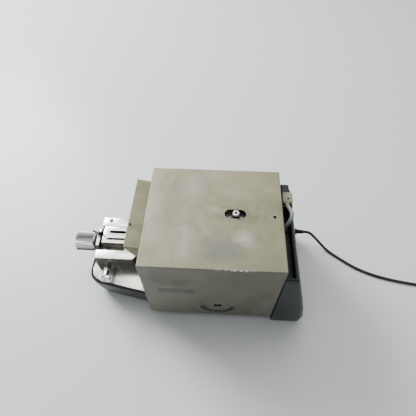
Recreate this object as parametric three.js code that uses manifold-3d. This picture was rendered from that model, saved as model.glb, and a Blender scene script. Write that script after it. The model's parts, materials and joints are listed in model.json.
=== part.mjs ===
// A motor-driven bench microtome with its sheet-metal cover on: cast base, polished knife stage,
// feed carriage with the specimen slide inside, cover with visor, rear housing and mains lead.
// Millimetres, +Z up. Origin: on the table below the middle of the machine.
// -X is the knife stage end, +X the rear housing, -Y the side with the thickness dial.
import * as THREE from "three";
import { mergeVertices } from "three/addons/utils/BufferGeometryUtils.js";
import Module from "manifold-3d";

// ---------- driving sizes ----------
const GAP = 0.3; // face to face between neighbouring pieces
const COVER = { x0: -78, x1: 182, halfY: 114, z0: 22, z1: 232, wall: 1.5 };
const BASE = { nose: -212, stern: 184.5, halfNose: 46, bottom: 6, rim: 67, wall: 7 };
const DECK = { z0: 67.4, z1: 72, inset: 4, end: -62 };
const TRIM = { width: 3.4, z1: 74, end: -79.5 };
const CHASSIS = { z0: 42, z1: 47, x0: -56, x1: 170, inset: 12 };
const FOOT = { r: 12, height: 5.7 };
const VISOR = { tip: -106, y0: -77, y1: 80, zTip: 234, zWall: 228, drop: 51, wall: 1.5, holeY: -29 };
const SLOT = { x: 92, y: 3.5, r: 10.5, half: 10 }; // post slot in the cover's top
const COVER_SCREW = { x: 166, r: 3.2 };
const DIAL = { x: 66, z: 70, hole: 8.5, inner: 26, outer: 37.5, thick: 0.6, lead: 0.07 }; // lead: radians
const ARM_OPENING = { halfY: 62, z: 214 };
const NOTCH = { halfY: 99, z: 76 };
const HOUSING = { x0: 182.6, wall: 3.5 };
const RECESS = { x1: 202, y0: -110, y1: 92, floor: 180 };
const CABLE = { r: 4, x: 192.4, y: 4 };
const HOOD = {
  x0: 187, x1: 207, y0: 48, y1: 72.7, z0: 204.3, z1: 218,
  screws: [190.5, 204.6], screwZ: 208.5,
};
const STAGE = { x0: -193, x1: -107, y0: -45, y1: 57, top: 124, seat: 90 };
const SLIDE = { x0: -186.4, x1: -121, y0: -7.6, y1: 33.6 };
const KNIFE_SLOT = { x: -136, y: 20, half: 35, r: 3.2 };
const BRACKET = { x0: -199.3, x1: -193.3, y0: -12, y1: 30, top: 119 };
const LOCK = { x: -196.3, y: 15, shank: 1.5, hub: 4, wing: 12 };
const KNOB = { x0: -249, x1: -200.3, y: 8, z: 101, r: 20.5, screw: 4 };
const RAIL_CLAMP = { x: -171, z: 94, shank: 6, head: 11.5, neck: 5.2, tip: -80 };
const ROD = { y: [-40, 46], z: 60, r: 5, x0: 18, x1: 160 };
const FEED = { y: 3, z: 60, r: 4, wheel: 12.4 };
const CARRIAGE = { x0: 45, x1: 141, y0: -52, y1: 100, z0: 70, z1: 78 };
const COLUMN = { x: [70, 116], y: 3, r: 7, top: 207.7 };
const POST = { x: 93, y: 2.5, r: 6, bore: 2.5, top: 238 };
const STROKE = { x0: 58, x1: 128, y0: -9, y1: 15, z0: 130, z1: 178, axis: 154 };
const CRANK = { throw: 22, disc: 30, pin: 5, shaft: 6, pulley: 36, motorPulley: 11, motorZ: 100 };
const SELECTOR = { r: 4, y0: -110.5, y1: -60 };
const GLAND = { x0: 248.3, x1: 270, y: 90, z: 46, stub: 5.4, collar: 7.5 };
const CORD = { r: 3.2, z: 3.5 };
const COIL = { x: 590, y: -61.6, mean: 35, half: 9.9, height: 13.2 };
const OVER = 1; // how far a cutter runs past the face it opens

// ---------- solids ----------
const wasm = await Module();
wasm.setup();

function toSolid(geometry) {
  const bare = geometry.clone();
  bare.deleteAttribute("normal");
  bare.deleteAttribute("uv");
  const merged = mergeVertices(bare, 1e-4);
  return new wasm.Manifold(
    new wasm.Mesh({
      numProp: 3,
      vertProperties: new Float32Array(merged.attributes.position.array),
      triVerts: new Uint32Array(merged.index.array),
    }),
  );
}

function toGeometry(solid) {
  const mesh = solid.getMesh();
  const geometry = new THREE.BufferGeometry();
  geometry.setAttribute("position", new THREE.BufferAttribute(mesh.vertProperties, 3));
  geometry.setIndex(new THREE.BufferAttribute(mesh.triVerts, 1));
  geometry.computeVertexNormals();
  return geometry;
}

const join = (first, ...rest) => rest.reduce((sum, next) => sum.add(next), first);
const cut = (body, ...tools) => tools.reduce((left, tool) => left.subtract(tool), body);

function box(x0, x1, y0, y1, z0, z1) {
  const geometry = new THREE.BoxGeometry(x1 - x0, y1 - y0, z1 - z0);
  return toSolid(geometry.translate((x0 + x1) / 2, (y0 + y1) / 2, (z0 + z1) / 2));
}

// A rod between two stations of an axis. The centre gives the other two coordinates in X, Y, Z order.
function rod(axis, from, to, [a, b], r, sides = 24, rEnd = r) {
  const geometry = new THREE.CylinderGeometry(rEnd, r, to - from, sides);
  geometry.rotateX(Math.PI / 2).translate(0, 0, (from + to) / 2);
  if (axis === "x") geometry.rotateY(Math.PI / 2).translate(0, a, b);
  if (axis === "y") geometry.rotateX(-Math.PI / 2).translate(a, 0, b);
  if (axis === "z") geometry.translate(a, b, 0);
  return toSolid(geometry);
}

// An outline of [a, b] points extruded along an axis; the points are the other two coordinates in order.
function prism(axis, from, to, points, holes = []) {
  const shape = new THREE.Shape(points.map(([a, b]) => new THREE.Vector2(a, b)));
  for (const hole of holes) {
    shape.holes.push(new THREE.Path(hole.map(([a, b]) => new THREE.Vector2(a, b))));
  }
  const geometry = new THREE.ExtrudeGeometry(shape, { depth: to - from, bevelEnabled: false });
  const position = geometry.attributes.position;
  for (let i = 0; i < position.count; i++) {
    const a = position.getX(i);
    const b = position.getY(i);
    const along = from + position.getZ(i);
    if (axis === "x") position.setXYZ(i, along, a, b);
    if (axis === "y") position.setXYZ(i, a, along, b);
    if (axis === "z") position.setXYZ(i, a, b, along);
  }
  return outward(geometry, axis === "y");
}

// Swapping two axes mirrors a shape, so its triangles are turned round again.
function outward(geometry, mirrored) {
  if (!mirrored) return toSolid(geometry);
  const position = geometry.attributes.position;
  const corner = new THREE.Vector3();
  const other = new THREE.Vector3();
  for (let i = 0; i < position.count; i += 3) {
    corner.fromBufferAttribute(position, i + 1);
    other.fromBufferAttribute(position, i + 2);
    position.setXYZ(i + 1, other.x, other.y, other.z);
    position.setXYZ(i + 2, corner.x, corner.y, corner.z);
  }
  return toSolid(geometry);
}

function circle([a, b], r, sides, start = 0, sweep = 2 * Math.PI) {
  const count = sweep < 2 * Math.PI ? sides + 1 : sides;
  return Array.from({ length: count }, (_, i) => {
    const angle = start + (sweep * i) / sides;
    return [a + r * Math.cos(angle), b + r * Math.sin(angle)];
  });
}

// A slot outline with round ends, lying along the first coordinate.
function stadium([a, b], half, r, sides = 10) {
  return [
    ...circle([a + half, b], r, sides, -Math.PI / 2, Math.PI),
    ...circle([a - half, b], r, sides, Math.PI / 2, Math.PI),
  ];
}

// A closed skin through rings of equal point counts, each ring flat at its own height.
function loft(rings) {
  const positions = [];
  const count = rings[0].points.length;
  for (const { points, z } of rings) points.forEach(([x, y]) => positions.push(x, y, z));
  const index = [];
  for (let level = 0; level < rings.length - 1; level++) {
    for (let i = 0; i < count; i++) {
      const j = (i + 1) % count;
      const low = level * count;
      const high = low + count;
      index.push(low + i, low + j, high + j, low + i, high + j, high + i);
    }
  }
  const flat = rings[0].points.map(([x, y]) => new THREE.Vector2(x, y));
  const top = (rings.length - 1) * count;
  for (const [a, b, c] of THREE.ShapeUtils.triangulateShape(flat, [])) {
    index.push(c, b, a);
    index.push(top + a, top + b, top + c);
  }
  const geometry = new THREE.BufferGeometry();
  geometry.setAttribute("position", new THREE.BufferAttribute(new Float32Array(positions), 3));
  geometry.setIndex(index);
  return toSolid(geometry);
}

function tube(points, r, sides, steps) {
  const curve = new THREE.CatmullRomCurve3(points.map((p) => new THREE.Vector3(...p)), false, "centripetal");
  const section = new THREE.Shape(circle([0, 0], r, sides).map(([a, b]) => new THREE.Vector2(a, b)));
  return toSolid(new THREE.ExtrudeGeometry(section, { extrudePath: curve, steps, bevelEnabled: false }));
}

// A turned piece: [radius, height] points about the axis through the centre.
function turned(axis, [a, b], profile, sides = 24) {
  const geometry = new THREE.LatheGeometry(profile.map(([r, h]) => new THREE.Vector2(r, h)), sides);
  geometry.rotateX(Math.PI / 2);
  if (axis === "x") geometry.rotateY(Math.PI / 2).translate(0, a, b);
  if (axis === "y") geometry.rotateX(-Math.PI / 2).translate(a, 0, b);
  if (axis === "z") geometry.translate(a, b, 0);
  return toSolid(geometry);
}

// ---------- finishes ----------
const finish = (color, roughness, metalness = 0) =>
  new THREE.MeshStandardMaterial({ color, roughness, metalness });
const FINISH = {
  coverPaint: finish(0x8f8b78, 0.55),
  slatePaint: finish(0x4b5558, 0.45),
  nickel: finish(0xcfcac0, 0.2, 1),
  chrome: finish(0xd8d8d8, 0.12, 1),
  steel: finish(0x9a9c9e, 0.35, 1),
  castAluminium: finish(0x8b8d8f, 0.55, 1),
  brass: finish(0xb08d4a, 0.3, 1),
  rubber: finish(0x161616, 0.8),
  blackPlastic: finish(0x1b1c1e, 0.5),
  beigePlastic: finish(0xb7ae96, 0.5),
  greyJacket: finish(0x8d8f90, 0.6),
  whiteNylon: finish(0xefefea, 0.4),
  darkPrint: finish(0x4d4c44, 0.6),
  board: finish(0x2f5a3c, 0.5),
  copper: finish(0xa86a3d, 0.4, 1),
};

const machine = new THREE.Group();

function add(name, solid, material) {
  const mesh = new THREE.Mesh(toGeometry(solid), material);
  mesh.name = name;
  machine.add(mesh);
}

// ---------- base ----------
// Plan outline of the boat-shaped base, drawn in by `inset` all round.
function hullOutline(inset) {
  const nose = BASE.nose + inset;
  const cheek = 77 - inset;
  const beam = 108 - inset;
  const stern = BASE.stern - inset;
  const path = new THREE.Path();
  path.moveTo(stern, beam);
  path.lineTo(30, beam);
  path.quadraticCurveTo(-40, beam, -180 + inset, cheek);
  path.quadraticCurveTo(nose, cheek - 5, nose, BASE.halfNose);
  path.lineTo(nose, -BASE.halfNose);
  path.quadraticCurveTo(nose, 5 - cheek, -180 + inset, -cheek);
  path.quadraticCurveTo(-40, -beam, 30, -beam);
  path.lineTo(stern, -beam);
  return path.getPoints(8).map((p) => [p.x, p.y]);
}

const FOOT_PLACES = {
  foot_front_left: [-160, -48],
  foot_front_right: [-160, 48],
  foot_rear_left: [140, -86],
  foot_rear_right: [140, 86],
};

function buildBase() {
  const taper = 8;
  const outer = loft([
    { points: hullOutline(taper), z: BASE.bottom },
    { points: hullOutline(taper * 0.3), z: BASE.bottom + 22 },
    { points: hullOutline(0), z: BASE.rim },
  ]);
  const inner = loft([
    { points: hullOutline(taper + BASE.wall), z: BASE.bottom + 4 },
    { points: hullOutline(BASE.wall), z: BASE.rim + OVER },
  ]);
  const pillars = [-40, 150].flatMap((x) =>
    [-70, 70].map((y) => rod("z", BASE.bottom + 2, CHASSIS.z0 - GAP, [x, y], 8, 12)),
  );
  const sternStep = box(COVER.x1 - 4, BASE.stern + OVER, -120, 120, COVER.z0 - 2, BASE.rim + 9);
  const dialWay = box(DIAL.x - 16, DIAL.x + 16, -120, -80, 52, BASE.rim + 9);
  const hollow = cut(outer, inner, sternStep, dialWay);
  add("base_shell", join(hollow, ...pillars), FINISH.slatePaint);

  const plate = (inset, z0, z1) =>
    loft([
      { points: hullOutline(inset), z: z0 },
      { points: hullOutline(inset), z: z1 },
    ]);
  const frontOf = (x) => box(x, 300, -150, 150, 0, 300);
  const rimRing = cut(plate(0, DECK.z0, TRIM.z1), plate(TRIM.width, 0, 100), frontOf(TRIM.end));
  add("rubber_trim", rimRing, FINISH.rubber);
  add("deck_plate", cut(plate(DECK.inset, DECK.z0, DECK.z1), frontOf(DECK.end)), FINISH.nickel);
  const chassis = cut(
    plate(CHASSIS.inset, CHASSIS.z0, CHASSIS.z1),
    frontOf(CHASSIS.x1),
    box(-300, CHASSIS.x0, -150, 150, 0, 300),
  );
  add("chassis_plate", chassis, FINISH.castAluminium);
  for (const [name, place] of Object.entries(FOOT_PLACES)) {
    add(name, rod("z", 0, FOOT.height, place, FOOT.r - 1.5, 24, FOOT.r), FINISH.rubber);
  }
}

// ---------- knife stage ----------
// The small screw that locks the stage spindle: a hub with two raised wings.
function wingScrew() {
  const base = BRACKET.top + 0.5;
  const wingBase = STAGE.top + 0.6;
  const hub = turned("z", [LOCK.x, LOCK.y], [
    [0, base - 7.5], [LOCK.shank, base - 7.5], [LOCK.shank, base], [LOCK.hub, base],
    [LOCK.hub, wingBase + 3], [0, wingBase + 4],
  ], 16);
  const wing = (side) =>
    prism("y", LOCK.y - 1.2, LOCK.y + 1.2, [
      [LOCK.x, wingBase], [LOCK.x + side * 4.5, wingBase],
      [LOCK.x + side * (LOCK.wing - 1), wingBase + 6], [LOCK.x + side * LOCK.wing, wingBase + 10],
      [LOCK.x + side * 8, wingBase + 9.5], [LOCK.x, wingBase + 2.5],
    ]);
  return join(hub, wing(-1), wing(1));
}

function buildStage() {
  const { x0, x1, y0, y1, top, seat } = STAGE;
  const channel = 104;
  const profile = [
    [y0, DECK.z1 + GAP], [y1, DECK.z1 + GAP], [y1, top], [34, top], [34, seat],
    [-8, seat], [-8, channel], [-25, channel], [-25, top], [y0, top],
  ];
  const chamfer = prism("z", 60, 140, [[x1 - 8, y0 - OVER], [x1 + OVER, y0 - OVER], [x1 + OVER, y0 + 9]]);
  const clampHole = rod("y", y0 - OVER, y0 + 14, [RAIL_CLAMP.x, RAIL_CLAMP.z], RAIL_CLAMP.shank + GAP);
  const body = cut(prism("x", x0, x1, profile), chamfer, clampHole);
  add("stage_body", body, FINISH.nickel);

  const slot = prism("z", 60, 140, stadium([KNIFE_SLOT.x, KNIFE_SLOT.y], KNIFE_SLOT.half, KNIFE_SLOT.r, 6));
  const groove = box(SLIDE.x0 + 10, SLIDE.x1 + OVER, 0, 5, top - 7, top + OVER);
  const screwWay = rod("x", SLIDE.x0 - OVER, SLIDE.x1 + OVER, [KNOB.y, KNOB.z], KNOB.screw + 0.5, 16);
  const block = box(SLIDE.x0, SLIDE.x1, SLIDE.y0, SLIDE.y1, seat + GAP, top);
  add("stage_slide", cut(block, slot, groove, screwWay), FINISH.nickel);

  const bracket = box(BRACKET.x0, BRACKET.x1, BRACKET.y0, BRACKET.y1, DECK.z1 + GAP, BRACKET.top);
  const journal = rod("x", BRACKET.x0 - OVER, BRACKET.x1 + OVER, [KNOB.y, KNOB.z], KNOB.screw + 0.5, 16);
  const lockHole = rod("z", BRACKET.top - 9, BRACKET.top + OVER, [LOCK.x, LOCK.y], LOCK.shank + GAP, 12);
  add("screw_bracket", cut(bracket, journal, lockHole), FINISH.nickel);
  add("leadscrew", rod("x", KNOB.x1 + GAP, SLIDE.x1 - 4, [KNOB.y, KNOB.z], KNOB.screw, 16), FINISH.steel);
  const knob = turned("x", [KNOB.y, KNOB.z], [
    [0, KNOB.x0], [17, KNOB.x0], [KNOB.r, KNOB.x0 + 3], [KNOB.r, KNOB.x1 - 7],
    [18, KNOB.x1 - 4.5], [9, KNOB.x1 - 3.5], [9, KNOB.x1], [0, KNOB.x1],
  ], 32);
  add("stage_knob", knob, FINISH.chrome);
  add("lock_screw", wingScrew(), FINISH.steel);

  const { shank, head, neck, tip } = RAIL_CLAMP;
  const clamp = turned("y", [RAIL_CLAMP.x, RAIL_CLAMP.z], [
    [0, tip + 1], [3, tip + 1], [3.4, tip], [head - 2.7, tip], [head, tip + 1.8], [head, tip + 7],
    [9, tip + 8.5], [shank, tip + 9], [shank, tip + 20.4], [neck, tip + 21], [neck, tip + 22.4],
    [shank, tip + 23], [shank, y0 + 12], [0, y0 + 12],
  ]);
  add("rail_clamp_screw", clamp, FINISH.chrome);
  const dome = [[0, top + GAP], [4.5, top + GAP], [4.2, top + 1.8], [2.5, top + 3], [0, top + 3.4]];
  add("stage_dome_screw", turned("z", [-177, 50], dome, 16), FINISH.chrome);
  add("brass_stop", box(-138, -126, -20, -10, 104 + GAP, 113), FINISH.brass);
}

// ---------- feed carriage and specimen slide ----------
function buildFeed() {
  const block = (x0, x1) => box(x0, x1, ROD.y[0] - 10, ROD.y[1] + 10, CHASSIS.z1 + GAP, 74);
  const pivot = [26, 82];
  const stud = join(
    rod("x", -3, 9, pivot, 3, 16),
    box(8, ROD.x0 - GAP, pivot[0] - 7, pivot[0] + 7, 70, 90),
  );
  const screwHole = rod("x", 0, 30, [FEED.y, FEED.z], FEED.r + 0.4, 16);
  add("rod_block_front", cut(join(block(8, ROD.x0 - GAP), stud), screwHole), FINISH.castAluminium);
  add("rod_block_rear", block(ROD.x1 + GAP, 170), FINISH.castAluminium);
  ROD.y.forEach((y, i) => {
    const bar = rod("x", ROD.x0, ROD.x1, [y, ROD.z], ROD.r, 20);
    add(["guide_rod_left", "guide_rod_right"][i], bar, FINISH.steel);
  });
  add("feed_screw", rod("x", -6, ROD.x1 - 1, [FEED.y, FEED.z], FEED.r, 16), FINISH.steel);

  const teeth = Array.from({ length: 36 }, (_, i) => {
    const angle = (Math.PI * 2 * i) / 36;
    const r = i % 2 ? FEED.wheel : FEED.wheel - 1.6;
    return [FEED.y + r * Math.cos(angle), FEED.z + r * Math.sin(angle)];
  });
  const wheelBore = circle([FEED.y, FEED.z], FEED.r + GAP, 16).reverse();
  add("ratchet_wheel", prism("x", -2, 4, teeth, [wheelBore]), FINISH.brass);
  const pawlShape = [
    [pivot[0] + 7, pivot[1] + 7], [pivot[0] - 7, pivot[1] + 7], [8, 76], [5, 73.4], [12, 73.6],
    [pivot[0] + 7, pivot[1] - 6],
  ];
  const pawlBore = rod("x", -4, 6, pivot, 3.4, 16);
  add("pawl", cut(prism("x", -1.5, 3.5, pawlShape), pawlBore), FINISH.steel);

  const { x0, x1, y0, y1, z0, z1 } = CARRIAGE;
  const sleeves = ROD.y.map((y) => box(x0 + 5, x1 - 5, y - 9, y + 9, 51, z0 + 1));
  const bores = ROD.y.map((y) => rod("x", x0, x1, [y, ROD.z], ROD.r + 0.4, 20));
  const nut = box(86, 100, FEED.y - 10, FEED.y + 10, 52, z0 + 1);
  bores.push(rod("x", 80, 110, [FEED.y, FEED.z], FEED.r + 0.4, 16));
  const plate = join(box(x0, x1, y0, y1, z0, z1), nut, ...sleeves);
  add("carriage_plate", cut(plate, ...bores), FINISH.castAluminium);
  COLUMN.x.forEach((x, i) => {
    const name = ["column_front", "column_rear"][i];
    add(name, rod("z", z1 + GAP, COLUMN.top, [x, COLUMN.y], COLUMN.r, 24), FINISH.steel);
  });
  add("top_bridge", box(58, 128, -10, 16, COLUMN.top + GAP, 217), FINISH.castAluminium);
  const tubePost = turned("z", [POST.x, POST.y], [
    [POST.bore, 220], [POST.r, 220], [POST.r, POST.top - 1], [POST.r - 1, POST.top], [POST.bore, POST.top],
    [POST.bore, 220],
  ], 24);
  const nutBase = prism("z", 217 + GAP, 220.2, circle([POST.x, POST.y], 9.5, 6));
  add("post", join(tubePost, nutBase), FINISH.whiteNylon);
}

function buildSpecimenSlide() {
  const { x0, x1, y0, y1, z0, z1, axis } = STROKE;
  const bores = COLUMN.x.map((x) => rod("z", z0 - OVER, z1 + OVER, [x, COLUMN.y], COLUMN.r + 0.4, 24));
  const yoke = box(x0 + 2, x1 - 2, y1 - OVER, y1 + 6, axis - 14, axis + 14);
  const pinSlot = prism("y", y1 - 4, y1 + 7, stadium([POST.x, axis], 24, CRANK.pin + 0.4, 6));
  add("stroke_slide", cut(join(box(x0, x1, y0, y1, z0, z1), yoke), ...bores, pinSlot), FINISH.castAluminium);
  add("specimen_arm", box(-68, x0 - GAP, -6, 12, axis - 10, axis + 10), FINISH.steel);
  const head = box(-92, -68 - GAP, -17, 23, axis - 20, axis + 20);
  const jaws = box(-93, -78, -9, 15, axis - 13, axis + 13);
  const screwHole = rod("z", axis, axis + 30, [-80, 3], 3.4, 16);
  add("clamp_head", cut(head, jaws, screwHole), FINISH.nickel);
  const screw = turned("z", [-80, 3], [
    [0, axis + 11], [3, axis + 11], [3, axis + 21], [7, axis + 21.5], [7, axis + 31], [0, axis + 31],
  ], 16);
  add("specimen_clamp_screw", screw, FINISH.chrome);
}

// ---------- drive ----------
// Outline of a belt round two circles one above the other.
function beltOutline(x, [zHigh, rHigh], [zLow, rLow]) {
  const lean = Math.asin((rHigh - rLow) / (zHigh - zLow));
  return [
    ...circle([x, zHigh], rHigh, 20, -lean, Math.PI + 2 * lean),
    ...circle([x, zLow], rLow, 12, Math.PI + lean, Math.PI - 2 * lean),
  ];
}

function buildDrive() {
  const crankAxis = [POST.x, STROKE.axis];
  const motorAxis = [POST.x, CRANK.motorZ];
  const pin = rod("y", 21.5, 28, [POST.x + CRANK.throw, STROKE.axis], CRANK.pin, 16);
  const disc = rod("y", 27, 34, crankAxis, CRANK.disc, 36);
  add("crank", join(disc, pin, rod("y", 33, 74, crankAxis, CRANK.shaft, 20)), FINISH.steel);
  const bracket = box(66, 120, 44, 52, CARRIAGE.z1 + GAP, 180);
  const beltWindow = box(78, 108, 40, 56, 92, 130);
  const shaftWay = rod("y", 40, 56, crankAxis, CRANK.shaft + 0.4, 20);
  add("crank_bracket", cut(bracket, shaftWay, beltWindow), FINISH.castAluminium);
  const pulley = (axisPoint, r, bore, sides) => {
    const ring = (from, to, radius) => rod("y", from, to, axisPoint, radius, sides);
    const body = join(ring(60, 62, r + 2), ring(61, 71, r), ring(70, 72, r + 2));
    return bore ? cut(body, rod("y", 50, 80, axisPoint, bore, 20)) : body;
  };
  add("crank_pulley", pulley(crankAxis, CRANK.pulley, CRANK.shaft + GAP, 36), FINISH.castAluminium);
  const motorShaft = rod("y", 71, 79, motorAxis, 3, 12);
  add("motor_pulley", join(pulley(motorAxis, CRANK.motorPulley, 0, 24), motorShaft), FINISH.castAluminium);
  const belt = (extra) =>
    beltOutline(POST.x, [STROKE.axis, CRANK.pulley + extra], [CRANK.motorZ, CRANK.motorPulley + extra]);
  add("drive_belt", prism("y", 62.5, 69.5, belt(2), [belt(GAP).reverse()]), FINISH.rubber);
  const plate = box(62, 124, 76, 80, CARRIAGE.z1 + GAP, 130);
  add("motor_bracket", cut(plate, rod("y", 70, 90, motorAxis, 3.5, 12)), FINISH.castAluminium);
  const can = rod("y", 80 + GAP, 106, [POST.x, 103], 23.5, 28);
  add("drive_motor", join(can, rod("y", 105, 108, [POST.x, 103], 8, 16)), FINISH.blackPlastic);
}

// ---------- thickness selector ----------
function buildSelector() {
  const axis = [DIAL.x, DIAL.z];
  add("selector_shaft", rod("y", SELECTOR.y0, SELECTOR.y1, axis, SELECTOR.r, 20), FINISH.steel);
  const foot = box(50, 82, -88, -66, CHASSIS.z1 + GAP, 52);
  const plate = join(foot, box(50, 82, -88, -82, 51, 88));
  add("selector_bracket", cut(plate, rod("y", -90, -80, axis, SELECTOR.r + 0.4, 20)), FINISH.castAluminium);
  const cam = prism("y", -78, -72, circle([DIAL.x + 4, DIAL.z], 13, 28));
  add("selector_cam", cut(cam, rod("y", -80, -70, axis, SELECTOR.r + GAP, 20)), FINISH.brass);
}

// ---------- cover ----------
function buildCover() {
  const { x0, x1, halfY, z0, z1, wall } = COVER;
  const inside = box(x0 + wall, x1 - wall, wall - halfY, halfY - wall, z0 - OVER, z1 - wall);
  const cutters = [
    prism("z", z1 - 5, z1 + OVER, stadium([SLOT.x, SLOT.y], SLOT.half, SLOT.r)),
    rod("z", z1 - 5, z1 + OVER, [COVER_SCREW.x, 0], COVER_SCREW.r, 16),
    rod("y", -halfY - OVER, -halfY + 5, [DIAL.x, DIAL.z], DIAL.hole, 24),
    box(x0 - OVER, x0 + 5, -NOTCH.halfY, NOTCH.halfY, z0 - OVER, NOTCH.z),
    box(x0 - OVER, x0 + 5, -ARM_OPENING.halfY, ARM_OPENING.halfY, z0, ARM_OPENING.z),
  ];
  add("cover", cut(box(x0, x1, -halfY, halfY, z0, z1), inside, ...cutters), FINISH.coverPaint);

  const v = VISOR;
  const wallX = x0 - GAP;
  const side = [[v.tip, v.zTip], [v.tip, v.zTip - 5], [wallX, v.zWall - v.drop], [wallX, v.zWall]];
  const hollow = [
    [v.tip - OVER, v.zTip - v.wall - 0.2], [v.tip - OVER, v.zTip - 60], [wallX + OVER, v.zTip - 80],
    [wallX + OVER, v.zWall - v.wall - 0.2],
  ];
  const shell = cut(
    prism("y", v.y0, v.y1, side.reverse()),
    prism("y", v.y0 + v.wall, v.y1 - v.wall, hollow.reverse()),
    rod("z", v.zTip - 10, v.zTip + 5, [v.tip + 4, v.holeY], 1.5, 12),
  );
  add("visor", shell, FINISH.coverPaint);

  const sweep = Math.PI - 2 * DIAL.lead;
  const outerArc = circle([DIAL.x, DIAL.z], DIAL.outer, 18, Math.PI + DIAL.lead, sweep);
  const innerArc = circle([DIAL.x, DIAL.z], DIAL.inner, 18, -DIAL.lead, -sweep);
  const halfRing = [...outerArc, ...innerArc];
  add("dial_scale", prism("y", -halfY - GAP - DIAL.thick, -halfY - GAP, halfRing), FINISH.darkPrint);
}

// ---------- rear housing ----------
// Plan outline of the housing at one height: straight towards the cover, rounded at the outer corners.
function housingOutline(xOut, yFront, yBack, rFront, rBack, inset, open) {
  const x0 = HOUSING.x0 - open;
  const y0 = yFront + inset;
  const y1 = yBack - inset;
  const x1 = xOut - inset;
  return [
    [x0, y0],
    ...circle([x1 - rFront, y0 + rFront], rFront, 5, -Math.PI / 2, Math.PI / 2),
    ...circle([x1 - rBack, y1 - rBack], rBack, 5, 0, Math.PI / 2),
    [x0, y1],
  ];
}

// Outer face of the housing from the table up: z, reach in X, front end, back end, corner radii.
const HOUSING_LEVELS = [
  [4, 246.5, -116.5, 116.5, 8, 18],
  [31, 249, -118, 118, 10, 20],
  [109, 232, -117, 115, 8, 18],
  [197, 209, -115, 108, 5, 18],
  [204, 205, -112, 103, 3, 17],
];

function housingSkin(inset, open) {
  const last = HOUSING_LEVELS.length - 1;
  return loft(
    HOUSING_LEVELS.map(([z, xOut, yFront, yBack, rFront, rBack], i) => {
      const lift = i === 0 ? inset : 0;
      const lower = i === last ? inset : 0;
      return {
        points: housingOutline(xOut, yFront, yBack, rFront, rBack, inset, open),
        z: z + lift - lower,
      };
    }),
  );
}

function buildHousing() {
  const recess = box(HOUSING.x0 - OVER, RECESS.x1, RECESS.y0, RECESS.y1, 190, 210);
  const cordWay = rod("x", 230, 255, [GLAND.y, GLAND.z], 6, 20);
  const shell = cut(housingSkin(0, 0), housingSkin(HOUSING.wall, OVER), recess, cordWay);
  add("rear_housing", shell, FINISH.slatePaint);
  const floor = box(HOUSING.x0 + 1, RECESS.x1, RECESS.y0 + 1, RECESS.y1 + 6, RECESS.floor - 2, RECESS.floor);
  const grommet = rod("z", RECESS.floor - OVER, RECESS.floor + 4, [CABLE.x, CABLE.y], CABLE.r + 2.3, 16);
  const cableWay = rod("z", 170, 190, [CABLE.x, CABLE.y], CABLE.r + 0.5, 16);
  add("recess_floor", cut(join(floor, grommet), cableWay), FINISH.blackPlastic);

  add("transformer_coil", coreWrap(), FINISH.copper);
  add("transformer_core", transformerCore(), FINISH.steel);
  const boardPlate = box(187, 188.6, -95, 60, 80, 165);
  const parts = [[-80, -60, 130, 150], [-40, -10, 100, 125], [10, 40, 110, 150]].map(([y0, y1, z0, z1]) =>
    box(188, 197, y0, y1, z0, z1),
  );
  add("control_board", join(boardPlate, ...parts), FINISH.board);
}

const TRANSFORMER = { x0: 190, x1: 226, y0: -80, y1: -20, z0: 12, z1: 62 };

function transformerCore() {
  const { x0, x1, y0, y1, z0, z1 } = TRANSFORMER;
  const windows = [y0 + 10, y1 - 25].map((y) => box(x0 - OVER, x1 + OVER, y, y + 15, z0 + 10, z1 - 10));
  return cut(box(x0, x1, y0, y1, z0, z1), ...windows);
}

function coreWrap() {
  const { x0, x1, y0, y1, z0, z1 } = TRANSFORMER;
  const outer = box(x0 - 2, x1 + 4, y0 + 11, y1 - 11, z0 + 11, z1 - 11);
  const limb = box(x0 - GAP, x1 + GAP, y0 + 25 - GAP, y1 - 25 + GAP, z0, z1);
  return cut(outer, limb);
}

// ---------- control connector and its cable ----------
function buildConnector() {
  const { x0, x1, y0, y1, z0, z1, screws, screwZ } = HOOD;
  add("control_socket", box(x0, x1 - 4, y1 + GAP, y1 + 24, z0, z1 - 4), FINISH.blackPlastic);
  const hood = box(x0, x1, y0, y1, z0, z1);
  const screwHole = rod("z", z1 - 4, z1 + OVER, [x0 + 11.5, y0 + 8], 1.4, 12);
  add("connector_hood", cut(hood, screwHole), FINISH.beigePlastic);
  screws.forEach((x, i) => {
    const screw = turned("y", [x, screwZ], [
      [0, y0 - 7.5], [2.6, y0 - 7.5], [2.9, y0 - 6.8], [2.9, y0 - 1], [1.4, y0 - GAP], [0, y0 - GAP],
    ], 12);
    add(["hood_screw_inner", "hood_screw_outer"][i], screw, FINISH.steel);
  });
  const route = [
    [196.2, y0 - 0.7, 213], [196.6, 41, 213.4], [199.2, 33.5, 214.5], [201.8, 26, 214.8], [202.6, 18.5, 214],
    [200.6, 11.5, 211], [197, 6.8, 205.5], [194, 4.6, 198.5], [CABLE.x, CABLE.y, 190],
    [CABLE.x, CABLE.y, RECESS.floor - 1],
  ];
  add("control_cable", tube(route, CABLE.r, 10, 22), FINISH.greyJacket);
}

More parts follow.
